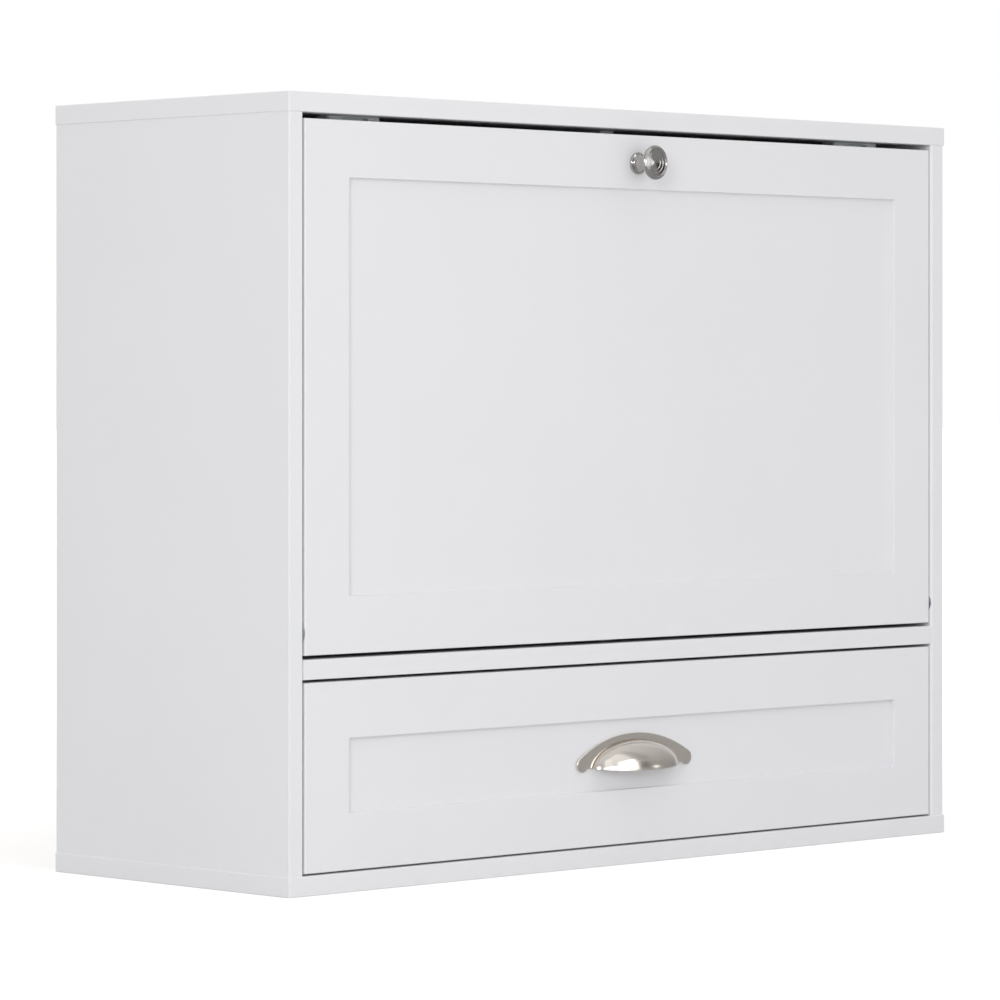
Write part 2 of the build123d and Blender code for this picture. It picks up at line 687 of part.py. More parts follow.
def make_knob():
    """The turned knob, a waisted stem under a dished head, and the screw that holds it."""
    base, neck, head, tall = knob_base_radius, knob_neck_radius, knob_head_radius, knob_projection
    foot_edge, foot_top = 0.05 * tall, 0.1 * tall
    foot_fall = foot_edge
    flare_end = tall - knob_head_depth
    floor = tall - knob_dish
    foot = Polyline((0, 0, 0), (base, 0, 0), (base, 0, foot_edge))
    shoulder = ThreePointArc((base, 0, foot_edge), (base - 0.3 * foot_fall, 0, 0.085 * tall),
                             (base - foot_fall, 0, foot_top))
    stem = Spline((base - foot_fall, 0, foot_top), (neck, 0, 0.37 * tall),
                  (1.15 * neck, 0, 0.62 * tall), (0.96 * head, 0, flare_end))
    rim = ThreePointArc((0.96 * head, 0, flare_end), (head, 0, 0.9 * tall),
                        (head - knob_rim_fall, 0, tall))
    dish = Polyline((head - knob_rim_fall, 0, tall), (knob_dish_floor_radius, 0, floor),
                    (0, 0, floor), (0, 0, 0))
    profile = make_face([foot, shoulder, stem, rim, dish])
    centre = (0, front_face, knob_z)
    knob = Plane(origin=centre, z_dir=(0, -1, 0)) * revolve(profile, Axis.Z)
    knob -= rod(centre, (0, -1, 0), machine_screw_radius, knob_screw_engagement + knob_bore_beyond)
    add("knob", knob)
    machine_screw("knob_screw", ("flap_board", "flap_top_rail"), (0, front_inner, knob_z),
                  (0, -1, 0), front_inner - front_face + knob_screw_engagement)


def make_cup_pull():
    """The cast cup pull on the drawer's recessed panel, with two screws from inside."""
    lobe_x = pull_width / 2 - pull_lobe_radius
    drop = pull_height - pull_lobe_radius
    arch = (lobe_x**2 + drop**2 - pull_lobe_radius**2) / (2 * (drop - pull_lobe_radius))
    face = Plane(origin=(0, strip_back, pull_z), x_dir=(1, 0, 0), z_dir=(0, -1, 0))
    lobes = [Pos(end * lobe_x, pull_lobe_radius) * Circle(pull_lobe_radius) for end in (LEFT, RIGHT)]
    arch_centre = pull_height - arch
    tangent = math.atan2(lobe_x, pull_lobe_radius - arch_centre)
    tip_x = arch * math.sin(tangent)
    tip_z = arch_centre + arch * math.cos(tangent)
    outline = make_face([
        ThreePointArc((-tip_x, tip_z), (0, pull_height), (tip_x, tip_z)),
        Line((tip_x, tip_z), (lobe_x, pull_lobe_radius)),
        Line((lobe_x, pull_lobe_radius), (lobe_x, 0)),
        Line((lobe_x, 0), (-lobe_x, 0)),
        Line((-lobe_x, 0), (-lobe_x, pull_lobe_radius)),
        Line((-lobe_x, pull_lobe_radius), (-tip_x, tip_z))])
    for lobe in lobes:
        outline += lobe
    flange = extrude(face * outline, pull_flange)

    def cup(inset):
        """A quarter of an ellipsoid, for the outside or the inside of the cup."""
        size = (pull_cup_half_width - inset, pull_cup_projection - inset, pull_cup_height - inset)
        return Pos(0, strip_back, pull_z) * scale(Sphere(1), by=size)

    tilt = math.degrees(math.atan2(pull_rim_rise, pull_cup_projection))
    beyond = Pos(0, strip_back - pull_cup_projection, pull_z)
    below = beyond * Rot(tilt, 0, 0) * Box(2 * pull_width, 4 * pull_width, pull_width,
                                           align=(Align.CENTER, Align.CENTER, Align.MAX))
    behind = block((-pull_width, pull_width), (strip_back, strip_back + pull_width),
                   (pull_z - pull_width, pull_z + pull_width))
    shell = cup(0) - below - behind
    pull = shell + flange - cup(pull_wall)
    for end in (LEFT, RIGHT):
        boss_point = (end * lobe_x, strip_back, pull_z + pull_lobe_radius)
        pull += rod(boss_point, (0, 1, 0), pull_boss_radius, pull_boss)
        pull -= rod(along(boss_point, (0, 1, 0), pull_boss), (0, -1, 0), machine_screw_radius,
                    pull_boss + pull_thread_beyond)
        cut("drawer_front_board", rod(boss_point, (0, 1, 0), pull_boss_radius + pull_boss_clearance,
                                      pull_boss + pull_boss_clearance))
        machine_screw("cup_pull_screws", ("drawer_front_board",),
                      (end * lobe_x, front_inner, pull_z + pull_lobe_radius), (0, -1, 0), front_board)
    add("cup_pull", pull)


# ---- Drawer ------------------------------------------------------------------------------

def make_drawer_box():
    """The drawer's sides, back and bottom, joined to its front."""
    groove_z = (panel_bottom - groove_clearance, panel_top + groove_clearance)
    groove_x = box_inner + drawer_groove_depth
    panel_half = groove_x - groove_end_clearance
    panel_front = front_inner - drawer_groove_depth + groove_end_clearance
    for side, name in ((LEFT, "left"), (RIGHT, "right")):
        side_name = f"drawer_{name}_side"
        solid = block((side * box_inner, side * box_outer), (front_inner, box_rear),
                      (box_bottom, box_top))
        add(side_name, eased(solid, edge_radius, Axis.Y))
        cut(side_name, block((side * box_inner, side * groove_x), (front_inner, box_rear), groove_z))
        middle_x = side * (box_inner + drawer_box_side / 2)
        for height in (box_bottom + drawer_low_fixing, box_top - drawer_high_fixing):
            dowel_joint("drawer_dowels", "drawer_front_board", side_name,
                        (middle_x, front_inner, height), (0, 1, 0))
            seat = (side * box_outer, box_back_front + drawer_box_side / 2, height)
            flush_screw("drawer_back_screws", (side_name, "drawer_back"), seat, (-side, 0, 0),
                        back_screw_radius, back_screw_length)
    back = block((-box_inner, box_inner), (box_back_front, box_rear), (panel_top, box_top))
    add("drawer_back", eased(back, edge_radius, Axis.X))
    add("drawer_bottom", block((-panel_half, panel_half), (panel_front, box_rear),
                               (panel_bottom, panel_top)))
    cut("drawer_front_board", block((-groove_x, groove_x), (front_inner - drawer_groove_depth, front_inner),
                                    groove_z))


def runner_member(side, web_x, flange_x, half_height, name):
    """A steel channel: a web, with flanges that run from it to another place across."""
    toward = 1 if flange_x > web_x else -1
    length = (runner_front, runner_rear)
    web = block((side * (side_inner - web_x), side * (side_inner - web_x - toward * runner_metal)),
                length, (runner_z - half_height, runner_z + half_height))
    channel = web
    for end in (-1, 1):
        channel += block((side * (side_inner - web_x), side * (side_inner - flange_x)), length,
                         (runner_z + end * (half_height - runner_metal), runner_z + end * half_height))
    corners = [edge for edge in channel.edges().filter_by(Axis.Y)
               if abs(edge.center().X - side * (side_inner - web_x)) < tiny]
    add(name, fillet(corners, runner_metal / 2))


def make_runners():
    """Three-part telescopic runners between the side panels and the drawer."""
    step = runner_metal + runner_slack
    outer_half = runner_height / 2
    middle_half = outer_half - step
    inner_half = middle_half - step
    middle_end = runner_width - runner_flange_end
    inner_end = runner_middle_inset + runner_metal + runner_web_gap
    screw_places = (runner_front + runner_screw_inset, (runner_front + runner_rear) / 2,
                    runner_rear - runner_screw_inset)
    for side, name in ((LEFT, "left"), (RIGHT, "right")):
        runner_member(side, 0, middle_end - runner_metal, outer_half, f"{name}_runner_outer")
        runner_member(side, runner_middle_inset, middle_end, middle_half, f"{name}_runner_middle")
        runner_member(side, runner_width, inner_end, inner_half, f"{name}_runner_inner")
        for place in screw_places:
            pan_screw("runner_outer_screws", f"{name}_runner_outer", f"{name}_side_panel",
                      (side * (side_inner - runner_metal), place, runner_z), (side, 0, 0), runner_metal)
            pan_screw("runner_inner_screws", f"{name}_runner_inner", f"drawer_{name}_side",
                      (side * (box_outer + runner_metal), place, runner_z), (-side, 0, 0), runner_metal)


# ---- Build -------------------------------------------------------------------------------

make_carcass()
join_carcass()
make_shelves()
make_front("flap", flap_bottom_edge, flap_top_edge)
make_front("drawer_front", drawer_bottom_edge, drawer_top_edge)
make_pivots()
make_stays()
make_catches()
make_knob()
make_cup_pull()
make_drawer_box()
make_runners()

os.makedirs("parts", exist_ok=True)
for name, solids in nodes.items():
    tools = cuts.get(name, [])
    finished = []
    for solid in solids:
        shaped = solid - tools if tools else solid
        finished.extend(shaped.solids())
    shape = finished[0] if len(finished) == 1 else Compound(label=name, children=finished)
    export_step(shape, f"parts/{name}.step")
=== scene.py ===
"""Wall-hung secretary desk: the finished look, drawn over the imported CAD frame.

The frame gives every place. Fittings whose look needs more than the frame's plain solids are
drawn again here as meshes, and every board and fitting gets the finish of the real thing.
Meshes are drawn in millimetres in the frame's own axes (X right, Y back, Z up) and scaled to
metres once, when a piece is finished.
"""

import logging
import math
from collections.abc import Iterable, Sequence
from dataclasses import dataclass
from enum import Enum

import bmesh
import bpy
from bmesh.types import BMEdge, BMesh, BMVert
from bpy.types import ID, Material, Node, NodeSocket, NodeTree, Object, World
from mathutils import Matrix, Vector


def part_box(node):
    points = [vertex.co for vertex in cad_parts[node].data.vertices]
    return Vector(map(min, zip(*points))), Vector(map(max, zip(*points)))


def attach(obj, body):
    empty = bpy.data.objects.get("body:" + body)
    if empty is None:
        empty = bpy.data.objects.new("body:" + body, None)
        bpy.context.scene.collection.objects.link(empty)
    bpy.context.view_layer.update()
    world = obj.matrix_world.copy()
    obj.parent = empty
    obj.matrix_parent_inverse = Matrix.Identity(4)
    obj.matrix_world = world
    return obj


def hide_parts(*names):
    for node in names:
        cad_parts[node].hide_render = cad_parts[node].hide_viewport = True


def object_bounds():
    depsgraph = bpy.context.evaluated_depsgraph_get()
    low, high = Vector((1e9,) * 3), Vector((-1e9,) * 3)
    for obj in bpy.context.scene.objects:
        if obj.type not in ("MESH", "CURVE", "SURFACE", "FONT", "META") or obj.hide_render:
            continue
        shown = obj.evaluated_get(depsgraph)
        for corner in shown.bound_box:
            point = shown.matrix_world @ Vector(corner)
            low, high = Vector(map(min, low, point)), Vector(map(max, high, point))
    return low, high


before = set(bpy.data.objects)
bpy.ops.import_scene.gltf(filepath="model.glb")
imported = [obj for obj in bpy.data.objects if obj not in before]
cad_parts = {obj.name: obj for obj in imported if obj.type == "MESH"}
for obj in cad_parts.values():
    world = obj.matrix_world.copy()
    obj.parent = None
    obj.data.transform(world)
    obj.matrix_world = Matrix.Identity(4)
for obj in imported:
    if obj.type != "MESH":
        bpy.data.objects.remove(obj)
cad_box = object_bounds()

LOG = logging.getLogger("secretary_desk")
MM = 0.001                  # metres in a millimetre
WELD = 0.0005               # mm; vertices nearer than this are one
CLEAR = 1.0                 # mm that a cutting tool runs past the face it enters or leaves
FULL_TURN = 2 * math.pi
WHITE = (1.0, 1.0, 1.0, 1.0)
BLACK = (0.0, 0.0, 0.0, 1.0)

Span = tuple[Vector, Vector]            # lowest and highest corners, in millimetres
Line = list[tuple[float, float]]        # points of an outline or profile, in millimetres


class Body(Enum):
    """The bodies that pieces ride on."""

    CABINET = "cabinet"
    FLAP = "flap"
    LEFT_STAY = "left_stay"
    RIGHT_STAY = "right_stay"
    DRAWER = "drawer"
    LEFT_RUNNER = "left_runner_slide"
    RIGHT_RUNNER = "right_runner_slide"


class Slot(Enum):
    """Names of material slots that some new pieces are listed with; nothing here gives a piece a
    slot.
    """

    PAINT = "white_paint"
    BEECH = "beech"
    ZINC = "zinc_plated_steel"
    CHROME = "polished_chrome"
    NICKEL = "satin_nickel"
    PLASTIC = "grey_plastic"
    FERRITE = "ferrite"


class Side(Enum):
    """The two ends of the desk, as the sign of X."""

    LEFT = -1
    RIGHT = 1

    @property
    def word(self) -> str:
        """The word that node names start with."""
        return self.name.lower()

    def outer(self, span: Span) -> float:
        """Give the X of a span's end that looks away from the middle of the desk."""
        return span[0].x if self is Side.LEFT else span[1].x

    def inner(self, span: Span) -> float:
        """Give the X of a span's end that looks to the middle of the desk."""
        return span[1].x if self is Side.LEFT else span[0].x


class Joinery(Enum):
    """How one solid is worked into another."""

    JOIN = "UNION"
    CARVE = "DIFFERENCE"


# ---- Meshes --------------------------------------------------------------------------------


def cad_span(node: str) -> Span:
    """Give the lowest and highest corners of a CAD node, in millimetres."""
    low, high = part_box(node)
    return low / MM, high / MM


def merged(node: str) -> BMesh:
    """Copy a CAD node's mesh, with its loose triangles joined.

    Args:
        node: Name of the CAD node.

    Returns:
        The copy, in millimetres.
    """
    bm = bmesh.new()
    bm.from_mesh(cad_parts[node].data)
    bmesh.ops.scale(bm, vec=Vector((1, 1, 1)) / MM, verts=bm.verts)
    bmesh.ops.remove_doubles(bm, verts=bm.verts, dist=WELD)
    return bm


def cad_solids(node: str) -> list[Span]:
    """Find the separate solids of a CAD node.

    Args:
        node: Name of the CAD node.

    Returns:
        Lowest and highest corners of each solid in millimetres, in a fixed order.
    """
    bm = merged(node)
    spans = []
    unseen = set(bm.verts)
    while unseen:
        waiting = [unseen.pop()]
        places = []
        while waiting:
            vertex = waiting.pop()
            places.append(vertex.co.copy())
            near = {edge.other_vert(vertex) for edge in vertex.link_edges} & unseen
            unseen -= near
            waiting.extend(near)
        low, high = (Vector([pick(place[axis] for place in places) for axis in range(3)])
                     for pick in (min, max))
        spans.append((low, high))
    bm.free()
    return sorted(spans, key=lambda span: [round(value, 2) for value in (*span[0], *span[1])])


def turned(profile: Sequence[tuple[float, float]], segments: int) -> BMesh:
    """Turn a solid on a lathe.

    Args:
        profile: Radius and distance along the axis of each point, from the foot to the tip.
        segments: Steps in a full turn.

    Returns:
        A closed mesh about +Z, with its foot at the origin.
    """
    bm = bmesh.new()
    points = [bm.verts.new((radius, 0, rise)) for radius, rise in profile]
    edges = [bm.edges.new(pair) for pair in zip(points, points[1:])]
    bmesh.ops.spin(bm, geom=points + edges, cent=(0, 0, 0), axis=(0, 0, 1), angle=FULL_TURN,
                   steps=segments, use_merge=True, use_duplicate=False)
    return welded(bm)


def rod(radius: float, length: float, segments: int = 24) -> BMesh:
    """Turn a plain rod about +Z, to bore with or to join to a larger shape."""
    return turned([(0, 0), (radius, 0), (radius, length), (0, length)], segments)


def grown(bm: BMesh, made: Iterable[object], way: Sequence[float]) -> None:
    """Draw out what an extrusion has just made.

    Args:
        bm: The mesh.
        made: What the extrusion gave back.
        way: How far its new points move.
    """
    points = [item for item in made if isinstance(item, BMVert)]
    bmesh.ops.translate(bm, vec=way, verts=points)


def prism(outline: Sequence[tuple[float, float]], thickness: float) -> BMesh:
    """Extrude a flat outline.

    Args:
        outline: Points round the outline in the XY plane.
        thickness: Distance that it is extruded, along +Z.

    Returns:
        The closed solid.
    """
    bm = bmesh.new()
    face = bm.faces.new([bm.verts.new((x, y, 0)) for x, y in outline])
    grown(bm, bmesh.ops.extrude_face_region(bm, geom=[face])["geom"], (0, 0, thickness))
    return welded(bm)


def slab(low: Sequence[float], high: Sequence[float]) -> BMesh:
    """Make a rectangular blank, ready to be worked.

    Args:
        low: Its lowest corner.
        high: Its highest corner.

    Returns:
        The blank.
    """
    low, high = Vector(low), Vector(high)
    bm = bmesh.new()
    bmesh.ops.create_cube(bm, size=1)
    bmesh.ops.scale(bm, vec=high - low, verts=bm.verts)
    bmesh.ops.translate(bm, vec=(low + high) / 2, verts=bm.verts)
    return bm


def arc(centre: tuple[float, float], radius: float, start: float, stop: float,
        steps: int) -> Line:
    """Give the points along an arc, both ends included, with the angles in degrees."""
    angles = [math.radians(start + (stop - start) * step / steps) for step in range(steps + 1)]
    return [(centre[0] + radius * math.cos(a), centre[1] + radius * math.sin(a)) for a in angles]


def round_ended(start: float, stop: float, radius: float, steps: int) -> Line:
    """Give the outline of a slot or bar along X.

    Args:
        start: Middle of the round end that is nearer to -X.
        stop: Middle of the other round end.
        radius: Radius of both ends.
        steps: Steps round each end.

    Returns:
        Points round the outline.
    """
    return [*arc((stop, 0), radius, -90, 90, steps), *arc((start, 0), radius, 90, 270, steps)]


def welded(bm: BMesh) -> BMesh:
    """Merge doubled vertices and point every face outwards.

    Args:
        bm: The mesh.

    Returns:
        The same mesh.
    """
    bmesh.ops.remove_doubles(bm, verts=bm.verts, dist=WELD)
    bmesh.ops.dissolve_degenerate(bm, dist=WELD, edges=bm.edges)
    bmesh.ops.recalc_face_normals(bm, faces=bm.faces)
    return bm


def bevelled(bm: BMesh, edges: Sequence[BMEdge], radius: float, segments: int) -> BMesh:
    """Round some edges of a mesh.

    Args:
        bm: The mesh.
        edges: The edges that are rounded.
        radius: Distance from an edge to where its rounding starts.
        segments: Steps across the rounding. One step is a chamfer.

    Returns:
        The same mesh.
    """
    bmesh.ops.bevel(bm, geom=edges, offset=radius, offset_type="OFFSET", segments=segments,
                    profile=0.5, affect="EDGES", clamp_overlap=True, material=-1)
    return bm


def softened(bm: BMesh, radius: float, segments: int = 2, sharper_than: float = 30) -> BMesh:
    """Round the arrises of a solid.

    Args:
        bm: The solid.
        radius: Distance from an arris to where its rounding starts.
        segments: Steps across the rounding.
        sharper_than: Angle in degrees between two faces above which their edge is an arris.

    Returns:
        The same mesh.
    """
    limit = math.radians(sharper_than)
    arrises = [edge for edge in bm.edges if edge.calc_face_angle(0) > limit]
    return bevelled(bm, arrises, radius, segments)


def placed(bm: BMesh, matrix: Matrix) -> BMesh:
    """Move and turn a mesh."""
    bmesh.ops.transform(bm, matrix=matrix, verts=bm.verts)
    return bm


def facing(point: Sequence[float], axis: Sequence[float]) -> Matrix:
    """Give the transform that takes the origin to a point and +Z to an axis."""
    turn = Vector(axis).to_track_quat("Z", "Y").to_matrix().to_4x4()
    return Matrix.Translation(Vector(point)) @ turn


def copied(node: str) -> BMesh:
    """Copy a CAD node's mesh, with its triangles merged to flat faces.

    Args:
        node: Name of the CAD node.

    Returns:
        The copy, in millimetres.
    """
    bm = merged(node)
    bmesh.ops.dissolve_limit(bm, angle_limit=math.radians(0.5), verts=bm.verts, edges=bm.edges)
    return bm


def eased(node: str, radius: float) -> BMesh:
    """Copy a CAD node's mesh and round its arrises by a radius in millimetres."""
    return welded(softened(copied(node), radius, sharper_than=50))


def gathered(parts: Iterable[BMesh]) -> BMesh:
    """Put several meshes in one.

    Args:
        parts: The meshes. They are freed.

    Returns:
        One mesh that holds them all.
    """
    whole = bmesh.new()
    for part in parts:
        mesh = bpy.data.meshes.new("part")
        part.to_mesh(mesh)
        part.free()
        whole.from_mesh(mesh)
        bpy.data.meshes.remove(mesh)
    return whole


def copies(template: BMesh, matrices: Iterable[Matrix]) -> BMesh:
    """Repeat a mesh at several places.

    Args:
        template: The mesh. It is freed.
        matrices: Where each copy goes.

    Returns:
        One mesh that holds every copy.
    """
    return gathered(placed(template.copy(), matrix) for matrix in matrices)


def put(name: str, data: ID) -> Object:
    """Make an object and put it in the scene.

    Args:
        name: Name of the object.
        data: Its mesh, lamp or camera.

    Returns:
        The object.
    """
    thing = bpy.data.objects.new(name, data)
    bpy.context.scene.collection.objects.link(thing)
    return thing


def worked(body: BMesh, tool: BMesh, joinery: Joinery) -> BMesh:
    """Join two solids, or carve one with the other.

    Args:
        body: The solid that is kept.
        tool: The solid that is joined to it or carved out of it.
        joinery: Which of the two.

    Returns:
        A new closed mesh. Both solids are freed.
    """
    held = []
    for solid in (body, tool):
        mesh = bpy.data.meshes.new("solid")
        solid.to_mesh(mesh)
        solid.free()
        held.append(put("solid", mesh))
    modifier = held[0].modifiers.new("joinery", "BOOLEAN")
    modifier.operation = joinery.value
    modifier.solver = "EXACT"
    modifier.object = held[1]
    bpy.context.view_layer.update()
    shaped = held[0].evaluated_get(bpy.context.evaluated_depsgraph_get()).to_mesh()
    result = bmesh.new()
    result.from_mesh(shaped)
    for thing in held:
        mesh = thing.data
        bpy.data.objects.remove(thing)
        bpy.data.meshes.remove(mesh)
    return result


def bored(solid: BMesh, radius: float, depth: float, mouth: Sequence[float],
          way: Sequence[float]) -> BMesh:
    """Bore a round hole in a solid.

    Args:
        solid: The solid. It is freed.
        radius: Radius of the hole.
        depth: How far the bit goes from where it starts.
        mouth: Where it starts, outside the solid.
        way: Which way it goes.

    Returns:
        The bored solid.
    """
    return worked(solid, placed(rod(radius, depth), facing(mouth, way)), Joinery.CARVE)


def finished(bm: BMesh, name: str, finish: "Finish", body: Body,
             stands_for: Sequence[str] = (), crease: float = 32) -> None:
    """Turn a mesh into a piece of the desk, with its place in its mesh.

    Args:
        bm: The mesh in millimetres. It is freed.
        name: Name of the piece.
        finish: What its surface is.
        body: The body that it rides on.
        stands_for: CAD nodes that it is shown in place of.
        crease: Angle in degrees above which an edge is drawn sharp.
    """
    bmesh.ops.scale(bm, vec=(MM, MM, MM), verts=bm.verts)
    limit = math.radians(crease)
    for edge in bm.edges:
        edge.smooth = edge.calc_face_angle(math.pi) < limit
    for face in bm.faces:
        face.smooth = True
    mesh = bpy.data.meshes.new(name)
    bm.to_mesh(mesh)
    bm.free()
    mesh.materials.append(finish.material())
    piece = put(name, mesh)
    flat = piece.modifiers.new("flat_faces_stay_flat", "WEIGHTED_NORMAL")
    flat.keep_sharp = True
    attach(piece, body.value)
    if stands_for:
        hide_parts(*stands_for)
    LOG.info("%s: %d faces on %s, %s", name, len(mesh.polygons), body.value, finish.title)


def dress(finish: "Finish", nodes: Iterable[str]) -> None:
    """Give CAD nodes a finish.

    Args:
        finish: What their surface is.
        nodes: Names of the nodes.
    """
    for node in nodes:
        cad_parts[node].data.materials[0] = finish.material()
        LOG.info("%s: CAD shape kept, %s", node, finish.title)


# ---- Materials -----------------------------------------------------------------------------


def linear(colour: str) -> tuple[float, float, float, float]:
    """Turn an sRGB colour to linear light.

    Args:
        colour: Hex value such as "#F0F0F2".

    Returns:
        Red, green and blue in linear light, and full alpha.
    """
    shares = [int(colour[start:start + 2], 16) / 255 for start in (1, 3, 5)]
    red, green, blue = (s / 12.92 if s <= 0.04045 else ((s + 0.055) / 1.055) ** 2.4
                        for s in shares)
    return red, green, blue, 1.0


def per(size: float) -> float:
    """Give the texture scale whose features are that many millimetres across."""
    return 1 / (size * MM)


def emptied(owner: Material | World) -> NodeTree:
    """Turn on a material's or a world's nodes and clear them.

    Args:
        owner: The material or world.

    Returns:
        Its empty node tree.
    """
    owner.use_nodes = True
    owner.node_tree.nodes.clear()
    return owner.node_tree


def add_node(tree: NodeTree, kind: str, sockets: dict | None = None, **settings: object) -> Node:
    """Add a node with its settings and links.

    Args:
        tree: The node tree.
        kind: The node's type, without "ShaderNode".
        sockets: What each input gets, by name or number: a value or another node's output.
        settings: The node's own options.

    Returns:
        The node.
    """
    node = tree.nodes.new("ShaderNode" + kind)
    for option, value in settings.items():
        setattr(node, option, value)
    for socket, value in (sockets or {}).items():
        if isinstance(value, NodeSocket):
            tree.links.new(value, node.inputs[socket])
        else:
            node.inputs[socket].default_value = value
    return node


@dataclass(frozen=True)
class Finish:
    """A surface, from its colour and gloss to the marks that its making leaves."""

    title: str
    colour: str
    shade: str
    roughness: float
    gloss_change: float
    metallic: float = 0.0
    ior: float = 1.5

    def material(self) -> Material:
        """Make the material once, and give the same one to every piece that asks.

        Returns:
            The material.
        """
        made = bpy.data.materials.get(self.title)
        if made is None:
            made = bpy.data.materials.new(self.title)
            tree = emptied(made)
            shader = add_node(tree, "BsdfPrincipled", {"Metallic": self.metallic, "IOR": self.ior})
            add_node(tree, "OutputMaterial", {"Surface": shader.outputs["BSDF"]})
            self.draw(tree, shader, add_node(tree, "TexCoord"))
        return made

    def draw(self, tree: NodeTree, shader: Node, place: Node) -> None:
        """Add the nodes for colour, gloss and relief.

        Args:
            tree: The material's node tree.
            shader: The shader that the nodes feed.
            place: The texture coordinates.
        """
        raise NotImplementedError

    def tint(self, tree: NodeTree, shader: Node, share: NodeSocket) -> None:
        """Mix the two colours by a pattern, and vary the gloss by the same pattern.

        Args:
            tree: The material's node tree.
            shader: The shader that gets the colour and the gloss.
            share: The pattern, from 0 for the colour to 1 for the shade.
        """
        blend = add_node(tree, "Mix", {0: share, 6: linear(self.colour), 7: linear(self.shade)},
                         data_type="RGBA")
        tree.links.new(blend.outputs[2], shader.inputs["Base Color"])
        gloss = add_node(tree, "MapRange", {
            "Value": share, "To Min": self.roughness - self.gloss_change,
            "To Max": self.roughness + self.gloss_change})
        tree.links.new(gloss.outputs["Result"], shader.inputs["Roughness"])


@dataclass(frozen=True)
class SatinLacquer(Finish):
    """White satin lacquer sprayed on fibreboard: even, with the faint orange peel of a spray."""

    cloud: float = 140.0            # mm across the faint tone changes of a sprayed coat
    peel: float = 2.2               # mm across the orange peel
    peel_height: float = 0.012      # mm
    stipple: float = 0.5            # mm across the finest droplets
    stipple_share: float = 0.15     # their height, as a share of the peel's

    def draw(self, tree: NodeTree, shader: Node, place: Node) -> None:
        """Add faint clouds of tone, orange peel and droplets.

        Args:
            tree: The material's node tree.
            shader: The shader that the nodes feed.
            place: The texture coordinates.
        """
        spot = place.outputs["Object"]
        clouds = add_node(tree, "TexNoise", {
            "Vector": spot, "Scale": per(self.cloud), "Detail": 3.0})
        self.tint(tree, shader, clouds.outputs["Fac"])
        peel = add_node(tree, "TexNoise", {"Vector": spot, "Scale": per(self.peel), "Detail": 1.0})
        drops = add_node(tree, "TexNoise", {
            "Vector": spot, "Scale": per(self.stipple), "Detail": 1.0})
        relief = add_node(tree, "Math", {
            0: drops.outputs["Fac"], 1: self.stipple_share, 2: peel.outputs["Fac"]},
            operation="MULTIPLY_ADD")
        bump = add_node(tree, "Bump", {
            "Height": relief.outputs[0], "Distance": self.peel_height * MM})
        tree.links.new(bump.outputs["Normal"], shader.inputs["Normal"])


@dataclass(frozen=True)
class Hardboard(Finish):
    """Hardboard with one face coated white: the other is pressed brown fibre with a mesh print."""

    coated: tuple[float, float, float] = (0, -1, 0)
    fibre: str = "#9A7A58"
    fibre_dark: str = "#7C5F42"
    fibre_length: float = 4.0       # mm; drawn coarse enough to show at the size of the desk
    mesh_pitch: float = 2.4         # mm between the wires that print the rough face, drawn coarse
    mesh_depth: float = 0.08        # mm
    mesh_unevenness: float = 0.15   # how far the wires stray, as a share of their pitch

    def draw(self, tree: NodeTree, shader: Node, place: Node) -> None:
        """Tell the coated face from the bare one by the way it faces, and draw both.

        Args:
            tree: The material's node tree.
            shader: The shader that the nodes feed.
            place: The texture coordinates.
        """
        spot = place.outputs["Object"]
        faces = add_node(tree, "VectorMath", {0: place.outputs["Normal"], 1: self.coated},
                         operation="DOT_PRODUCT")
        bare = add_node(tree, "Math", {0: faces.outputs["Value"], 1: 0.5}, operation="LESS_THAN")
        fibres = add_node(tree, "TexNoise", {
            "Vector": spot, "Scale": per(self.fibre_length), "Detail": 6.0, "Distortion": 0.8})
        coat, brown = (
            add_node(tree, "Mix", {0: fibres.outputs["Fac"], 6: linear(pale), 7: linear(dark)},
                     data_type="RGBA")
            for pale, dark in ((self.colour, self.shade), (self.fibre, self.fibre_dark)))
        both = add_node(tree, "Mix", {
            0: bare.outputs[0], 6: coat.outputs[2], 7: brown.outputs[2]}, data_type="RGBA")
        tree.links.new(both.outputs[2], shader.inputs["Base Color"])
        gloss = add_node(tree, "MapRange", {
            "Value": bare.outputs[0], "To Min": self.roughness,
            "To Max": self.roughness + self.gloss_change})
        tree.links.new(gloss.outputs["Result"], shader.inputs["Roughness"])
        weave = add_node(tree, "TexVoronoi", {
            "Vector": spot, "Scale": per(self.mesh_pitch), "Randomness": self.mesh_unevenness})
        printed = add_node(tree, "Math", {0: weave.outputs["Distance"], 1: bare.outputs[0]},
                           operation="MULTIPLY")
        bump = add_node(tree, "Bump", {
            "Height": printed.outputs[0], "Distance": self.mesh_depth * MM})
        tree.links.new(bump.outputs["Normal"], shader.inputs["Normal"])


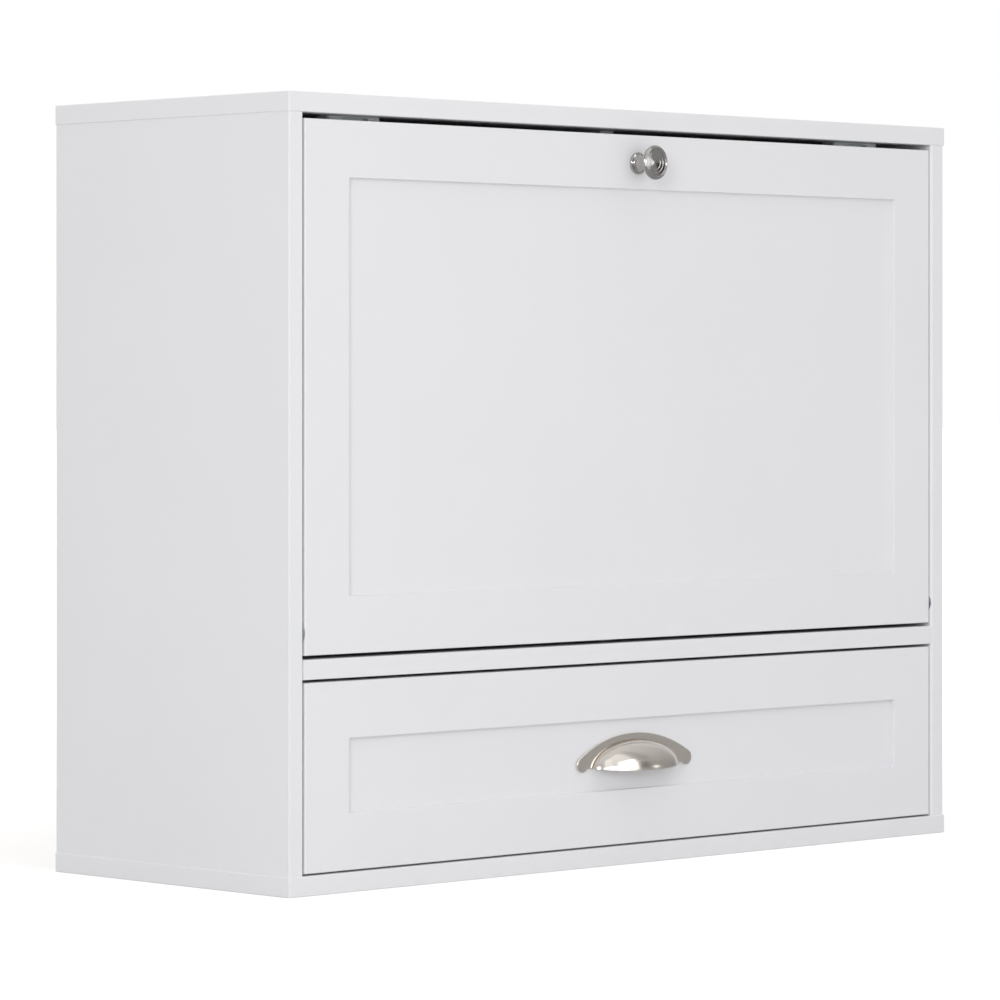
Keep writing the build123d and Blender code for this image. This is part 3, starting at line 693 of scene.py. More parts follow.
@dataclass(frozen=True)
class Wood(Finish):
    """Beech turned into dowels: pale pink-brown, with short dark flecks."""

    ring: float = 1.6               # mm between growth rings
    fleck: float = 0.9              # mm, length of the ray flecks
    grain_depth: float = 0.03       # mm

    def draw(self, tree: NodeTree, shader: Node, place: Node) -> None:
        """Add growth rings broken up by flecks.

        Args:
            tree: The material's node tree.
            shader: The shader that the nodes feed.
            place: The texture coordinates.
        """
        spot = place.outputs["Object"]
        rings = add_node(tree, "TexWave", {
            "Vector": spot, "Scale": per(self.ring) / FULL_TURN, "Distortion": 3.0, "Detail": 3.0},
            wave_type="RINGS")
        flecks = add_node(tree, "TexNoise", {
            "Vector": spot, "Scale": per(self.fleck), "Detail": 4.0})
        grain = add_node(tree, "Math", {0: rings.outputs["Fac"], 1: flecks.outputs["Fac"]},
                         operation="MULTIPLY")
        self.tint(tree, shader, grain.outputs[0])
        bump = add_node(tree, "Bump", {
            "Height": grain.outputs[0], "Distance": self.grain_depth * MM})
        tree.links.new(bump.outputs["Normal"], shader.inputs["Normal"])


@dataclass(frozen=True)
class ZincPlate(Finish):
    """Bright zinc plated on pressed steel: bluish, cloudy, with fine rolling lines."""

    cloud: float = 7.0              # mm across the clouds of the passivated plating
    line: float = 0.35              # mm between rolling lines; drawn coarser than the real ones
    line_depth: float = 0.004       # mm
    line_stretch: float = 0.04      # width of a rolling line, as a share of its length

    def draw(self, tree: NodeTree, shader: Node, place: Node) -> None:
        """Add plating clouds, and rolling lines that run from front to back.

        Args:
            tree: The material's node tree.
            shader: The shader that the nodes feed.
            place: The texture coordinates.
        """
        spot = place.outputs["Object"]
        clouds = add_node(tree, "TexNoise", {
            "Vector": spot, "Scale": per(self.cloud), "Detail": 5.0, "Distortion": 0.6})
        self.tint(tree, shader, clouds.outputs["Fac"])
        rolled = add_node(tree, "Mapping", {"Vector": spot, "Scale": (1, self.line_stretch, 1)})
        lines = add_node(tree, "TexNoise", {
            "Vector": rolled.outputs["Vector"], "Scale": per(self.line), "Detail": 2.0})
        bump = add_node(tree, "Bump", {
            "Height": lines.outputs["Fac"], "Distance": self.line_depth * MM})
        tree.links.new(bump.outputs["Normal"], shader.inputs["Normal"])


@dataclass(frozen=True)
class TurnedChrome(Finish):
    """Chrome plated over turned brass: a mirror, with the rings of the lathe in its dish."""

    centre: tuple[float, float] = (0, 0)    # mm, the axis in X and Z
    ring: float = 0.9                       # mm between the turning marks, drawn coarser than real
    ring_depth: float = 0.003               # mm
    haze: float = 5.0                       # mm across the smears that handling leaves

    def draw(self, tree: NodeTree, shader: Node, place: Node) -> None:
        """Add turning rings about the knob's axis, and a little haze in the gloss.

        Args:
            tree: The material's node tree.
            shader: The shader that the nodes feed.
            place: The texture coordinates.
        """
        spot = place.outputs["Object"]
        haze = add_node(tree, "TexNoise", {"Vector": spot, "Scale": per(self.haze), "Detail": 3.0})
        self.tint(tree, shader, haze.outputs["Fac"])
        x, z = self.centre
        centred = add_node(tree, "Mapping", {
            "Vector": spot, "Location": (-x * MM, 0, -z * MM), "Scale": (1, 0, 1)})
        radius = add_node(tree, "VectorMath", {0: centred.outputs["Vector"]}, operation="LENGTH")
        phase = add_node(tree, "Math", {0: radius.outputs["Value"], 1: FULL_TURN * per(self.ring)},
                         operation="MULTIPLY")
        rings = add_node(tree, "Math", {0: phase.outputs[0]}, operation="SINE")
        bump = add_node(tree, "Bump", {
            "Height": rings.outputs[0], "Distance": self.ring_depth * MM})
        tree.links.new(bump.outputs["Normal"], shader.inputs["Normal"])


@dataclass(frozen=True)
class SatinNickel(Finish):
    """Nickel plated on a zinc casting and brushed to a satin: warm, with soft wide highlights."""

    brush: float = 0.45             # mm between brush lines; drawn coarser than the real ones
    brush_depth: float = 0.0012     # mm
    brush_stretch: float = 0.03     # width of a brush line, as a share of its length
    cloud: float = 12.0             # mm across the changes of tone left by the casting

    def draw(self, tree: NodeTree, shader: Node, place: Node) -> None:
        """Add brush lines along the pull and a casting's soft tone changes.

        Args:
            tree: The material's node tree.
            shader: The shader that the nodes feed.
            place: The texture coordinates.
        """
        spot = place.outputs["Object"]
        clouds = add_node(tree, "TexNoise", {
            "Vector": spot, "Scale": per(self.cloud), "Detail": 3.0})
        self.tint(tree, shader, clouds.outputs["Fac"])
        brushed = add_node(tree, "Mapping", {"Vector": spot, "Scale": (self.brush_stretch, 1, 1)})
        lines = add_node(tree, "TexNoise", {
            "Vector": brushed.outputs["Vector"], "Scale": per(self.brush), "Detail": 2.0})
        bump = add_node(tree, "Bump", {
            "Height": lines.outputs["Fac"], "Distance": self.brush_depth * MM})
        tree.links.new(bump.outputs["Normal"], shader.inputs["Normal"])


@dataclass(frozen=True)
class MouldedPlastic(Finish):
    """ABS moulded in a spark-eroded tool: matt, with a fine even grain."""

    grain: float = 0.4              # mm across the grain; drawn coarser than the real one
    grain_depth: float = 0.01       # mm
    flow: float = 9.0               # mm across the faint marks where the plastic flowed

    def draw(self, tree: NodeTree, shader: Node, place: Node) -> None:
        """Add flow marks in the tone and an even grain in the relief.

        Args:
            tree: The material's node tree.
            shader: The shader that the nodes feed.
            place: The texture coordinates.
        """
        spot = place.outputs["Object"]
        flow = add_node(tree, "TexNoise", {
            "Vector": spot, "Scale": per(self.flow), "Detail": 2.0, "Distortion": 1.0})
        self.tint(tree, shader, flow.outputs["Fac"])
        grain = add_node(tree, "TexVoronoi", {"Vector": spot, "Scale": per(self.grain)})
        bump = add_node(tree, "Bump", {
            "Height": grain.outputs["Distance"], "Distance": self.grain_depth * MM})
        tree.links.new(bump.outputs["Normal"], shader.inputs["Normal"])


@dataclass(frozen=True)
class Ferrite(Finish):
    """Sintered ferrite: dull black ceramic with a granular face."""

    grit: float = 0.5               # mm across the grains; drawn coarser than the real ones
    grit_depth: float = 0.02        # mm

    def draw(self, tree: NodeTree, shader: Node, place: Node) -> None:
        """Add grains to the tone and the relief.

        Args:
            tree: The material's node tree.
            shader: The shader that the nodes feed.
            place: The texture coordinates.
        """
        grains = add_node(tree, "TexNoise", {
            "Vector": place.outputs["Object"], "Scale": per(self.grit), "Detail": 4.0})
        self.tint(tree, shader, grains.outputs["Fac"])
        bump = add_node(tree, "Bump", {
            "Height": grains.outputs["Fac"], "Distance": self.grit_depth * MM})
        tree.links.new(bump.outputs["Normal"], shader.inputs["Normal"])


LACQUER = SatinLacquer("satin_white_lacquer", "#F0F0F2", "#ECECEF", 0.42, 0.04, ior=1.48)
BACK_HARDBOARD = Hardboard("coated_hardboard_back", "#EAEAEC", "#E4E4E6", 0.45, 0.35)
DRAWER_HARDBOARD = Hardboard("coated_hardboard_drawer", "#EAEAEC", "#E4E4E6", 0.45, 0.35,
                             coated=(0, 0, 1))
BEECH = Wood("beech_dowel", "#D9B48A", "#B98B5E", 0.6, 0.06)
ZINC = ZincPlate("bright_zinc_plate", "#C9CED3", "#AEB5BC", 0.30, 0.07, metallic=1.0)
DIE_CAST = ZincPlate("die_cast_zinc", "#B9BEC2", "#A2A7AB", 0.42, 0.08, metallic=1.0, cloud=3.0,
                     line=0.8, line_depth=0.008)
NICKEL = SatinNickel("satin_nickel_casting", "#E9E2DA", "#E1DAD2", 0.18, 0.02, metallic=1.0)
ABS = MouldedPlastic("grey_abs_moulding", "#ECF1F0", "#E4EAE9", 0.48, 0.05)
MAGNET = Ferrite("sintered_ferrite", "#37373A", "#242427", 0.62, 0.08)


# ---- Knob and cup pull ---------------------------------------------------------------------


@dataclass
class Knob:
    """The turned knob: a round foot, a waisted stem and a dished head."""

    segments: int = 96
    foot_radius: float = 9.4
    foot_edge: float = 0.9          # height at which the foot starts to roll in
    roll_in: float = 1.2            # how far it rolls in
    roll_up: float = 1.4            # and over what height
    stem: tuple[tuple[float, float], ...] = (       # radius and height, from the foot to the head
        (7.3, 2.7), (6.5, 3.7), (5.95, 5.1), (5.6, 6.9), (5.62, 8.8), (5.8, 10.8),
        (6.2, 12.8), (6.95, 14.7), (8.1, 16.3), (9.8, 17.7), (11.9, 18.8), (13.5, 19.5))
    lip_radius: float = 1.5         # rounding of the head's edge
    lip_height: float = 20.9        # and its middle
    rim_fall: float = 1.9           # the head's radius less that of its rim
    rim: tuple[tuple[float, float], ...] = ((0, 0.25), (0.35, 0), (0.7, 0.3))   # in and down
    dish_start: tuple[float, float] = (1.1, 1.0)    # the first ring, in and down from the rim
    dish_depth: float = 2.25
    ring_step: float = 0.3          # height of each turned step in the dish
    ring_width: float = 2.6
    ring_fall: float = 0.15         # fall of the flat between two steps
    ridge: float = 0.12             # height of the ridge at the top of each step
    ease: float = 0.12

    def profile(self, head: float, tall: float) -> Line:
        """Give the lathe profile of the knob.

        Args:
            head: Radius of the head.
            tall: Distance from the flap to the rim.

        Returns:
            Radius and distance from the flap of each point.
        """
        foot = self.foot_radius
        roll = [(foot - self.roll_in + self.roll_in * math.cos(a),
                 self.foot_edge + self.roll_up * math.sin(a))
                for a in (math.radians(step * 15) for step in range(7))]
        lip = arc((head - self.lip_radius, self.lip_height), self.lip_radius, -50, 62, 8)
        crest = head - self.rim_fall
        rim = [(crest - inward, tall - down) for inward, down in self.rim]
        dish = []
        radius, depth = crest - self.dish_start[0], tall - self.dish_start[1]
        floor = tall - self.dish_depth
        while radius > self.ring_width and depth > floor + self.ring_step:
            dish += [(radius, depth), (radius - self.ridge, depth + self.ridge),
                     (radius - 2 * self.ridge, depth),
                     (radius - self.ring_width, depth - self.ring_fall)]
            radius -= self.ring_width + self.ring_step
            depth -= self.ring_fall + self.ring_step
        return [(0, 0), (foot, 0), *roll, *self.stem, *lip, *rim, *dish, (0, floor)]

    def build(self) -> None:
        """Turn the knob, stand it on the flap and plate it."""
        low, high = cad_span("knob")
        centre = (low + high) / 2
        head, tall = (high.x - low.x) / 2, high.y - low.y
        knob = turned(self.profile(head, tall), self.segments)
        placed(softened(knob, self.ease, sharper_than=24),
               facing((centre.x, high.y, centre.z), (0, -1, 0)))
        chrome = TurnedChrome("turned_chrome_plate", "#BEBCBA", "#B4B2AF", 0.10, 0.03,
                              metallic=1.0, centre=(centre.x, centre.z))
        finished(knob, "dished_knob", chrome, Body.FLAP, ["knob"])


@dataclass
class CupPull:
    """The cast cup pull: an arched flange with a round lobe at each end, and a hollow cup."""

    flange: float = 2.4
    flange_ease: float = 0.7
    lobe_radius: float = 6.5
    underside: float = 2.8          # flange's lower edge above the lowest point of the lobes
    cup_half_width: float = 52.5
    cup_height: float = 25.5
    wall: float = 1.8
    rim_rise: float = 4.0           # the rim is higher at the flange than at its front
    boss_radius: float = 4.0
    boss_sink: float = 1.0          # how far a boss runs into the flange
    sink: float = 1.2               # how far the cup runs back into the flange
    groove: float = 0.8             # width and depth of the groove round the cup
    arch_steps: int = 48
    lobe_steps: int = 20

    def outline(self, half_width: float, height: float) -> Line:
        """Give the flange's outline: arch, lobes, and the edge of the cup's hollow.

        Args:
            half_width: Half the width over the lobes.
            height: Height from the lobes' lowest point to the top of the arch.

        Returns:
            Points round the flange, across and up.
        """
        lobe, steps = self.lobe_radius, self.arch_steps
        lobe_x, drop = half_width - lobe, height - lobe
        arch = (lobe_x**2 + drop**2 - lobe**2) / (2 * (drop - lobe))
        lean = math.degrees(math.atan2(lobe_x, lobe - height + arch))
        notch = math.degrees(math.asin((lobe - self.underside) / lobe))
        hollow_width, hollow_height = self.cup_half_width - self.wall, self.cup_height - self.wall
        start = math.degrees(math.asin(self.underside / hollow_height))
        over = arc((0, height - arch), arch, 90 + lean, 90 - lean, steps)
        right = arc((lobe_x, lobe), lobe, 90 - lean, notch - 180, self.lobe_steps)
        left = arc((-lobe_x, lobe), lobe, -notch, -270 + lean, self.lobe_steps)
        unit = arc((0, 0), 1, start, 180 - start, steps)
        hollow = [(hollow_width * x, hollow_height * y) for x, y in unit]
        return [*over[1:-1], *right, *hollow, *left]

    def plate(self, half_width: float, height: float) -> BMesh:
        """Cast the flange, with the groove that runs round the cup.

        Args:
            half_width: Half the width over the lobes.
            height: Height from the lobes' lowest point to the top of the arch.

        Returns:
            The flange, with its back at Y zero and its lobes' foot at Z zero.
        """
        flange = prism(self.outline(half_width, height), self.flange)
        softened(flange, self.flange_ease, segments=3, sharper_than=50)
        around, above = self.cup_half_width + self.groove, self.cup_height + self.groove
        unit = arc((0, 0), 1, -30, 210, 2 * self.arch_steps)
        ditch = prism([(around * x, above * y) for x, y in unit], self.flange)
        placed(ditch, Matrix.Translation((0, 0, self.flange - self.groove)))
        flange = worked(flange, ditch, Joinery.CARVE)
        return placed(flange, Matrix.Rotation(math.pi / 2, 4, "X"))

    def cup(self, projection: float) -> BMesh:
        """Raise the hollow cup.

        Args:
            projection: How far the cup stands out from the back of the flange.

        Returns:
            The cup, with the flange's back at Y zero and its lobes' foot at Z zero.
        """
        bm = bmesh.new()
        bmesh.ops.create_uvsphere(bm, u_segments=96, v_segments=64, radius=1)
        bmesh.ops.rotate(bm, cent=(0, 0, 0), matrix=Matrix.Rotation(math.pi / 2, 3, "Y"),
                         verts=bm.verts)
        bmesh.ops.scale(bm, vec=(self.cup_half_width, projection, self.cup_height), verts=bm.verts)
        rim = Vector((0, self.rim_rise, -projection)).normalized()
        for point, normal in (((0, -self.sink, 0), (0, 1, 0)), ((0, -projection, 0), rim)):
            bmesh.ops.bisect_plane(bm, geom=[*bm.verts, *bm.edges, *bm.faces], plane_co=point,
                                   plane_no=normal, clear_outer=True, dist=WELD)
        bmesh.ops.remove_doubles(bm, verts=bm.verts, dist=WELD)
        bmesh.ops.recalc_face_normals(bm, faces=bm.faces)
        bmesh.ops.solidify(bm, geom=bm.faces, thickness=self.wall)
        return bm

    def build(self) -> None:
        """Cast the pull, and set it on the drawer's recessed panel."""
        low, high = cad_span("cup_pull")
        panel_face = cad_span("drawer_front_board")[0].y
        half_width = (high.x - low.x) / 2
        whole = worked(self.plate(half_width, high.z - low.z), self.cup(panel_face - low.y),
                       Joinery.JOIN)
        for end in Side:
            across = end.value * (half_width - self.lobe_radius)
            boss = rod(self.boss_radius, high.y - panel_face + self.boss_sink, 32)
            placed(boss, facing((across, -self.boss_sink, self.lobe_radius), (0, 1, 0)))
            whole = worked(whole, boss, Joinery.JOIN)
        placed(whole, Matrix.Translation(((low.x + high.x) / 2, panel_face, low.z)))
        finished(whole, "cast_cup_pull", NICKEL, Body.DRAWER, ["cup_pull"], crease=40)


# ---- Fittings ------------------------------------------------------------------------------


# Shares of the head's radius and height, and of the thread's depth and pitch
PAN_HEAD = ((0, 0), (0.45, 0.02), (0.8, 0.2), (0.96, 0.5), (1, 0.8))
THREAD = ((0, 0), (1, 0.4), (1, 0.5), (0, 0.9))


@dataclass(frozen=True)
class Screws:
    """Screws of one kind, drawn once and repeated wherever the frame has one."""

    name: str
    node: str
    body: Body
    way: tuple[float, float, float]     # from head to tip; the sign of X is for the right side
    head_radius: float = 3.4
    head: float = 1.5                   # height of the head
    root: float = 1.3                   # radius at the bottom of the thread
    crest: float = 1.7                  # radius at its top
    flush: bool = False                 # a countersunk head
    pointed: bool = True
    pitch: float = 1.4
    short: float = 0.0                  # how far its tip stays short of the frame's screw
    head_edge: tuple[float, float] = (0.1, 0.15)    # break of the head's edge, in and down
    point: float = 0.1                  # radius of a pointed tip
    blunt: tuple[float, float] = (0.3, 0.4)         # chamfer of a flat tip, in and up
    recess_arm: float = 1.0             # width of the cross
    recess_span: float = 0.55           # its reach, as a share of the head's radius
    recess_depth: float = 0.8           # and its depth, as a share of the head's height
    segments: int = 24

    def profile(self, length: float) -> Line:
        """Give the lathe profile of a screw.

        Args:
            length: Length from the top of the head to the tip.

        Returns:
            Radius and distance from the top of the head of each point.
        """
        radius, head, root, pitch = self.head_radius, self.head, self.root, self.pitch
        inward, down = self.head_edge
        if self.flush:
            shape = [(0, 0), (radius - inward, 0), (radius, down), (root, head)]
        else:
            shape = [*((across * radius, fall * head) for across, fall in PAN_HEAD),
                     (radius - inward, head), (root, head)]
        cone = 2 * self.crest if self.pointed else self.blunt[1]
        rise = head + pitch
        while rise + pitch < length - cone:
            shape += [(root + deep * (self.crest - root), rise + part * pitch)
                      for deep, part in THREAD]
            rise += pitch
        end = self.point if self.pointed else root - self.blunt[0]
        return [*shape, (root, length - cone), (end, length), (0, length)]

    def build(self) -> None:
        """Turn one screw, cut the cross in its head, and repeat it."""
        spans = cad_solids(self.node)
        sizes = spans[0][1] - spans[0][0]
        along = max(range(3), key=lambda axis: abs(self.way[axis]))
        screw = turned(self.profile(sizes[along] - self.short), self.segments)
        arm, reach = self.recess_arm / 2, self.recess_span * self.head_radius
        for x, y in ((reach, arm), (arm, reach)):
            cut = slab((-x, -y, -CLEAR), (x, y, self.recess_depth * self.head))
            screw = worked(screw, cut, Joinery.CARVE)
        places = []
        for low, high in spans:
            head_end, way = (low + high) / 2, Vector(self.way)
            if way.x:
                way.x *= math.copysign(1, head_end.x)
            head_end[along] = low[along] if way[along] > 0 else high[along]
            places.append(facing(head_end, way))
        finished(copies(screw, places), self.name, ZINC, self.body, [self.node])


SCREWS = (
    Screws("catch_pan_screws", "catch_screws", Body.CABINET, (0, 0, 1)),
    Screws("outer_runner_screws", "runner_outer_screws", Body.CABINET, (1, 0, 0)),
    Screws("inner_runner_screws", "runner_inner_screws", Body.DRAWER, (-1, 0, 0), short=1.2),
    Screws("flap_flush_screws", "flap_screws", Body.FLAP, (0, -1, 0), head=1.7, flush=True),
    Screws("drawer_flush_screws", "drawer_back_screws", Body.DRAWER, (-1, 0, 0), head_radius=3.9,
           head=1.7, root=1.5, crest=1.95, flush=True, pitch=2.0),
    *(Screws(name, node, body, (0, -1, 0), head_radius=4.0, head=2.4, root=1.6, crest=1.95,
             pointed=False, pitch=0.8)
      for name, node, body in (("pull_machine_screws", "cup_pull_screws", Body.DRAWER),
                               ("knob_machine_screw", "knob_screw", Body.FLAP))))


@dataclass
class CamLocks:
    """Die-cast cams let into the boards, each with a turned groove round its cross recess."""

    boards: tuple[str, ...] = ("left_side_panel", "right_side_panel", "middle_board",
                               "centre_divider", "hanging_rail")
    groove_inner: float = 4.9
    groove_outer: float = 6.3
    groove_depth: float = 0.7
    rim_ease: float = 0.5
    skim: float = 0.01              # how far the easing tool stands off the face
    flush: float = 0.2              # how near a cam's face lies to its board's
    segments: int = 48

    def seats(self) -> list[tuple[Vector, Vector]]:
        """Find where the face of each cam is.

        Returns:
            The middle of each cam's face, and the way from there into the board.
        """
        boards = [cad_span(board) for board in self.boards]
        found = []
        for low, high in cad_solids("cam_locks"):
            centre, size = (low + high) / 2, high - low
            axis = min(range(3), key=lambda each: size[each])
            for board_low, board_high in boards:
                inside = all(board_low[a] < centre[a] < board_high[a] for a in range(3))
                for face, own, sign in ((board_low, low, 1), (board_high, high, -1)):
                    if inside and abs(face[axis] - own[axis]) < self.flush:
                        point, way = centre.copy(), Vector((0, 0, 0))
                        point[axis], way[axis] = own[axis], sign
                        found.append((point, way))
        return found

    def build(self) -> None:
        """Groove and ease the face of every cam."""
        low, high = cad_solids("cam_locks")[0]
        radius, ease, skim = (high.y - low.y) / 2, self.rim_ease, self.skim
        inner, outer, deep = self.groove_inner, self.groove_outer, self.groove_depth
        groove = turned([(inner, -CLEAR), (outer, -CLEAR), (outer, deep), (inner, deep),
                         (inner, -CLEAR)], self.segments)
        rim = turned([(radius - ease, -skim), (radius + CLEAR, -skim), (radius + CLEAR, ease),
                      (radius, ease), (radius - ease, -skim)], self.segments)
        tools = copies(gathered([groove, rim]), [facing(*seat) for seat in self.seats()])
        cams = worked(copied("cam_locks"), tools, Joinery.CARVE)
        finished(cams, "die_cast_cams", DIE_CAST, Body.CABINET, ["cam_locks"])


@dataclass
class ShelfPins:
    """Turned steel pins that the shelves rest on."""

    ease: float = 0.6
    groove: float = 0.3             # a turned line where the pin leaves the board
    sunk: float = 7.0               # length inside the board
    bay_centre: float = 195.5       # from the middle of the desk to the middle of a bay
    segments: int = 32

    def build(self) -> None:
        """Turn one pin and repeat it."""
        spans = cad_solids("shelf_pins")
        low, high = spans[0]
        radius, length = (high.y - low.y) / 2, high.x - low.x
        ease, groove, sunk = self.ease, self.groove, self.sunk
        pin = turned([(0, 0), (radius - ease, 0), (radius, ease), (radius, sunk),
                      (radius - groove, sunk + groove), (radius - groove, sunk + 3 * groove),
                      (radius, sunk + 4 * groove), (radius, length - ease),
                      (radius - 0.4 * ease, length - 0.3 * ease), (radius - ease, length),
                      (0, length)], self.segments)
        places = []
        for low, high in spans:
            foot = (low + high) / 2
            way = 1 if foot.x < math.copysign(self.bay_centre, foot.x) else -1
            foot.x = low.x if way > 0 else high.x
            places.append(facing(foot, (way, 0, 0)))
        finished(copies(pin, places), "turned_shelf_pins", ZINC, Body.CABINET,
                 ["shelf_pins"])


@dataclass
class Dowels:
    """Fluted beech dowels with eased ends."""

    name: str
    node: str
    body: Body
    flutes: int = 12
    land: float = 0.6               # share of a dowel's round that the flutes leave full
    flute_depth: float = 0.35
    nose: float = 1.0               # chamfer of its ends

    def build(self) -> None:
        """Turn one dowel, flute it and repeat it."""
        spans = cad_solids(self.node)
        size = spans[0][1] - spans[0][0]
        length, radius = max(size), min(size) / 2
        ring = []
        pitch = 360 / self.flutes
        for flute in range(self.flutes):
            start = flute * pitch
            valley = start + (1 + self.land) / 2 * pitch
            ring += arc((0, 0), radius, start, start + self.land * pitch, 2)
            ring += arc((0, 0), radius - self.flute_depth, valley, valley, 1)[:1]
        dowel = prism(ring, length)
        ends = [edge for edge in dowel.edges
                if abs(edge.verts[0].co.z - edge.verts[1].co.z) < WELD]
        bevelled(dowel, ends, self.nose, 1)
        places = []
        for low, high in spans:
            size = high - low
            axis = max(range(3), key=lambda each: size[each])
            foot, way = (low + high) / 2, Vector((0, 0, 0))
            foot[axis], way[axis] = low[axis], 1
            places.append(facing(foot, way))
        finished(copies(dowel, places), self.name, BEECH, self.body, [self.node],
                 crease=50)


@dataclass
class Catches:
    """The magnetic catches: a moulded housing, a magnet and two pole plates that can rock."""

    block: float = 34.0             # width between the ears
    ear: float = 4.0                # thickness of the ears
    ear_round: float = 4.0          # corners of the ears, seen from below
    ear_ease: float = 0.5
    ease: float = 0.8
    pocket: float = 28.0            # width of the pocket and the slot
    pocket_depth: float = 12.0
    slot_depth: float = 6.0
    slot_low: float = 5.2           # slot below the top of the housing
    slot_high: float = 1.2
    screw_hole: float = 1.8         # radius
    plate_notch: tuple[float, float] = (1.5, 1.2)   # at the ends of a plate's front: in, back
    plate_ease: float = 0.25
    magnet_ease: float = 0.4

    def housing(self, low: Vector, high: Vector) -> BMesh:
        """Mould a housing.

        Args:
            low: Lowest corner over the ears.
            high: Highest corner over the ears.

        Returns:
            The housing with its pocket, its slot and its screw holes.
        """
        centre, width, depth = (low.x + high.x) / 2, (high.x - low.x) / 2, high.y - low.y
        half, r = self.block / 2, self.ear_round
        body = softened(slab((-half, 0, low.z), (half, depth, high.z)), self.ease, 3)
        corners = ((width - r, r), (width - r, depth - r), (r - width, depth - r), (r - width, r))
        ears = prism([point for turn, corner in enumerate(corners)
                      for point in arc(corner, r, 90 * (turn - 1), 90 * turn, 6)], self.ear)
        placed(softened(ears, self.ear_ease, sharper_than=50),
               Matrix.Translation((0, 0, high.z - self.ear)))
        mould = worked(body, ears, Joinery.JOIN)
        plates = cad_solids("catch_pole_plates")
        foot, top = min(span[0].z for span in plates), max(span[1].z for span in plates)
        half = self.pocket / 2
        for deep, under, over in (
                (self.pocket_depth, foot, top),
                (self.slot_depth, high.z - self.slot_low, high.z - self.slot_high)):
            hollow = slab((-half, -CLEAR, under), (half, deep, over))
            mould = worked(mould, hollow, Joinery.CARVE)
        placed(mould, Matrix.Translation((centre, low.y, 0)))
        for screw_low, screw_high in cad_solids("catch_screws"):
            x, y, _ = (screw_low + screw_high) / 2
            if abs(x - centre) < 2 * width:
                mould = bored(mould, self.screw_hole, self.ear + 2 * CLEAR,
                              (x, y, high.z - self.ear - CLEAR), (0, 0, 1))
        return mould

    def plates(self) -> BMesh:
        """Press the pole plates.

        Returns:
            The plates, notched at both ends of their front edges.
        """
        made = []
        reach, deep = self.plate_notch
        for low, high in cad_solids("catch_pole_plates"):
            plate = slab(low, high)
            for end in (low.x, high.x):
                notch = slab((end - reach, low.y - CLEAR, low.z - CLEAR),
                             (end + reach, low.y + deep, high.z + CLEAR))
                plate = worked(plate, notch, Joinery.CARVE)
            made.append(softened(plate, self.plate_ease))
        return gathered(made)

    def build(self) -> None:
        """Mould, press and place both catches."""
        housings = gathered(self.housing(low, high) for low, high in cad_solids("catch_bodies"))
        magnets = gathered(softened(slab(low, high), self.magnet_ease)
                           for low, high in cad_solids("catch_magnets"))
        for mesh, name, finish, slot, node in (
                (housings, "moulded_catch_housings", ABS, Slot.PLASTIC, "catch_bodies"),
                (magnets, "sintered_magnets", MAGNET, Slot.FERRITE, "catch_magnets"),
                (self.plates(), "pressed_pole_plates", ZINC, Slot.ZINC, "catch_pole_plates")):
            finished(mesh, name, finish, Body.CABINET, [node])


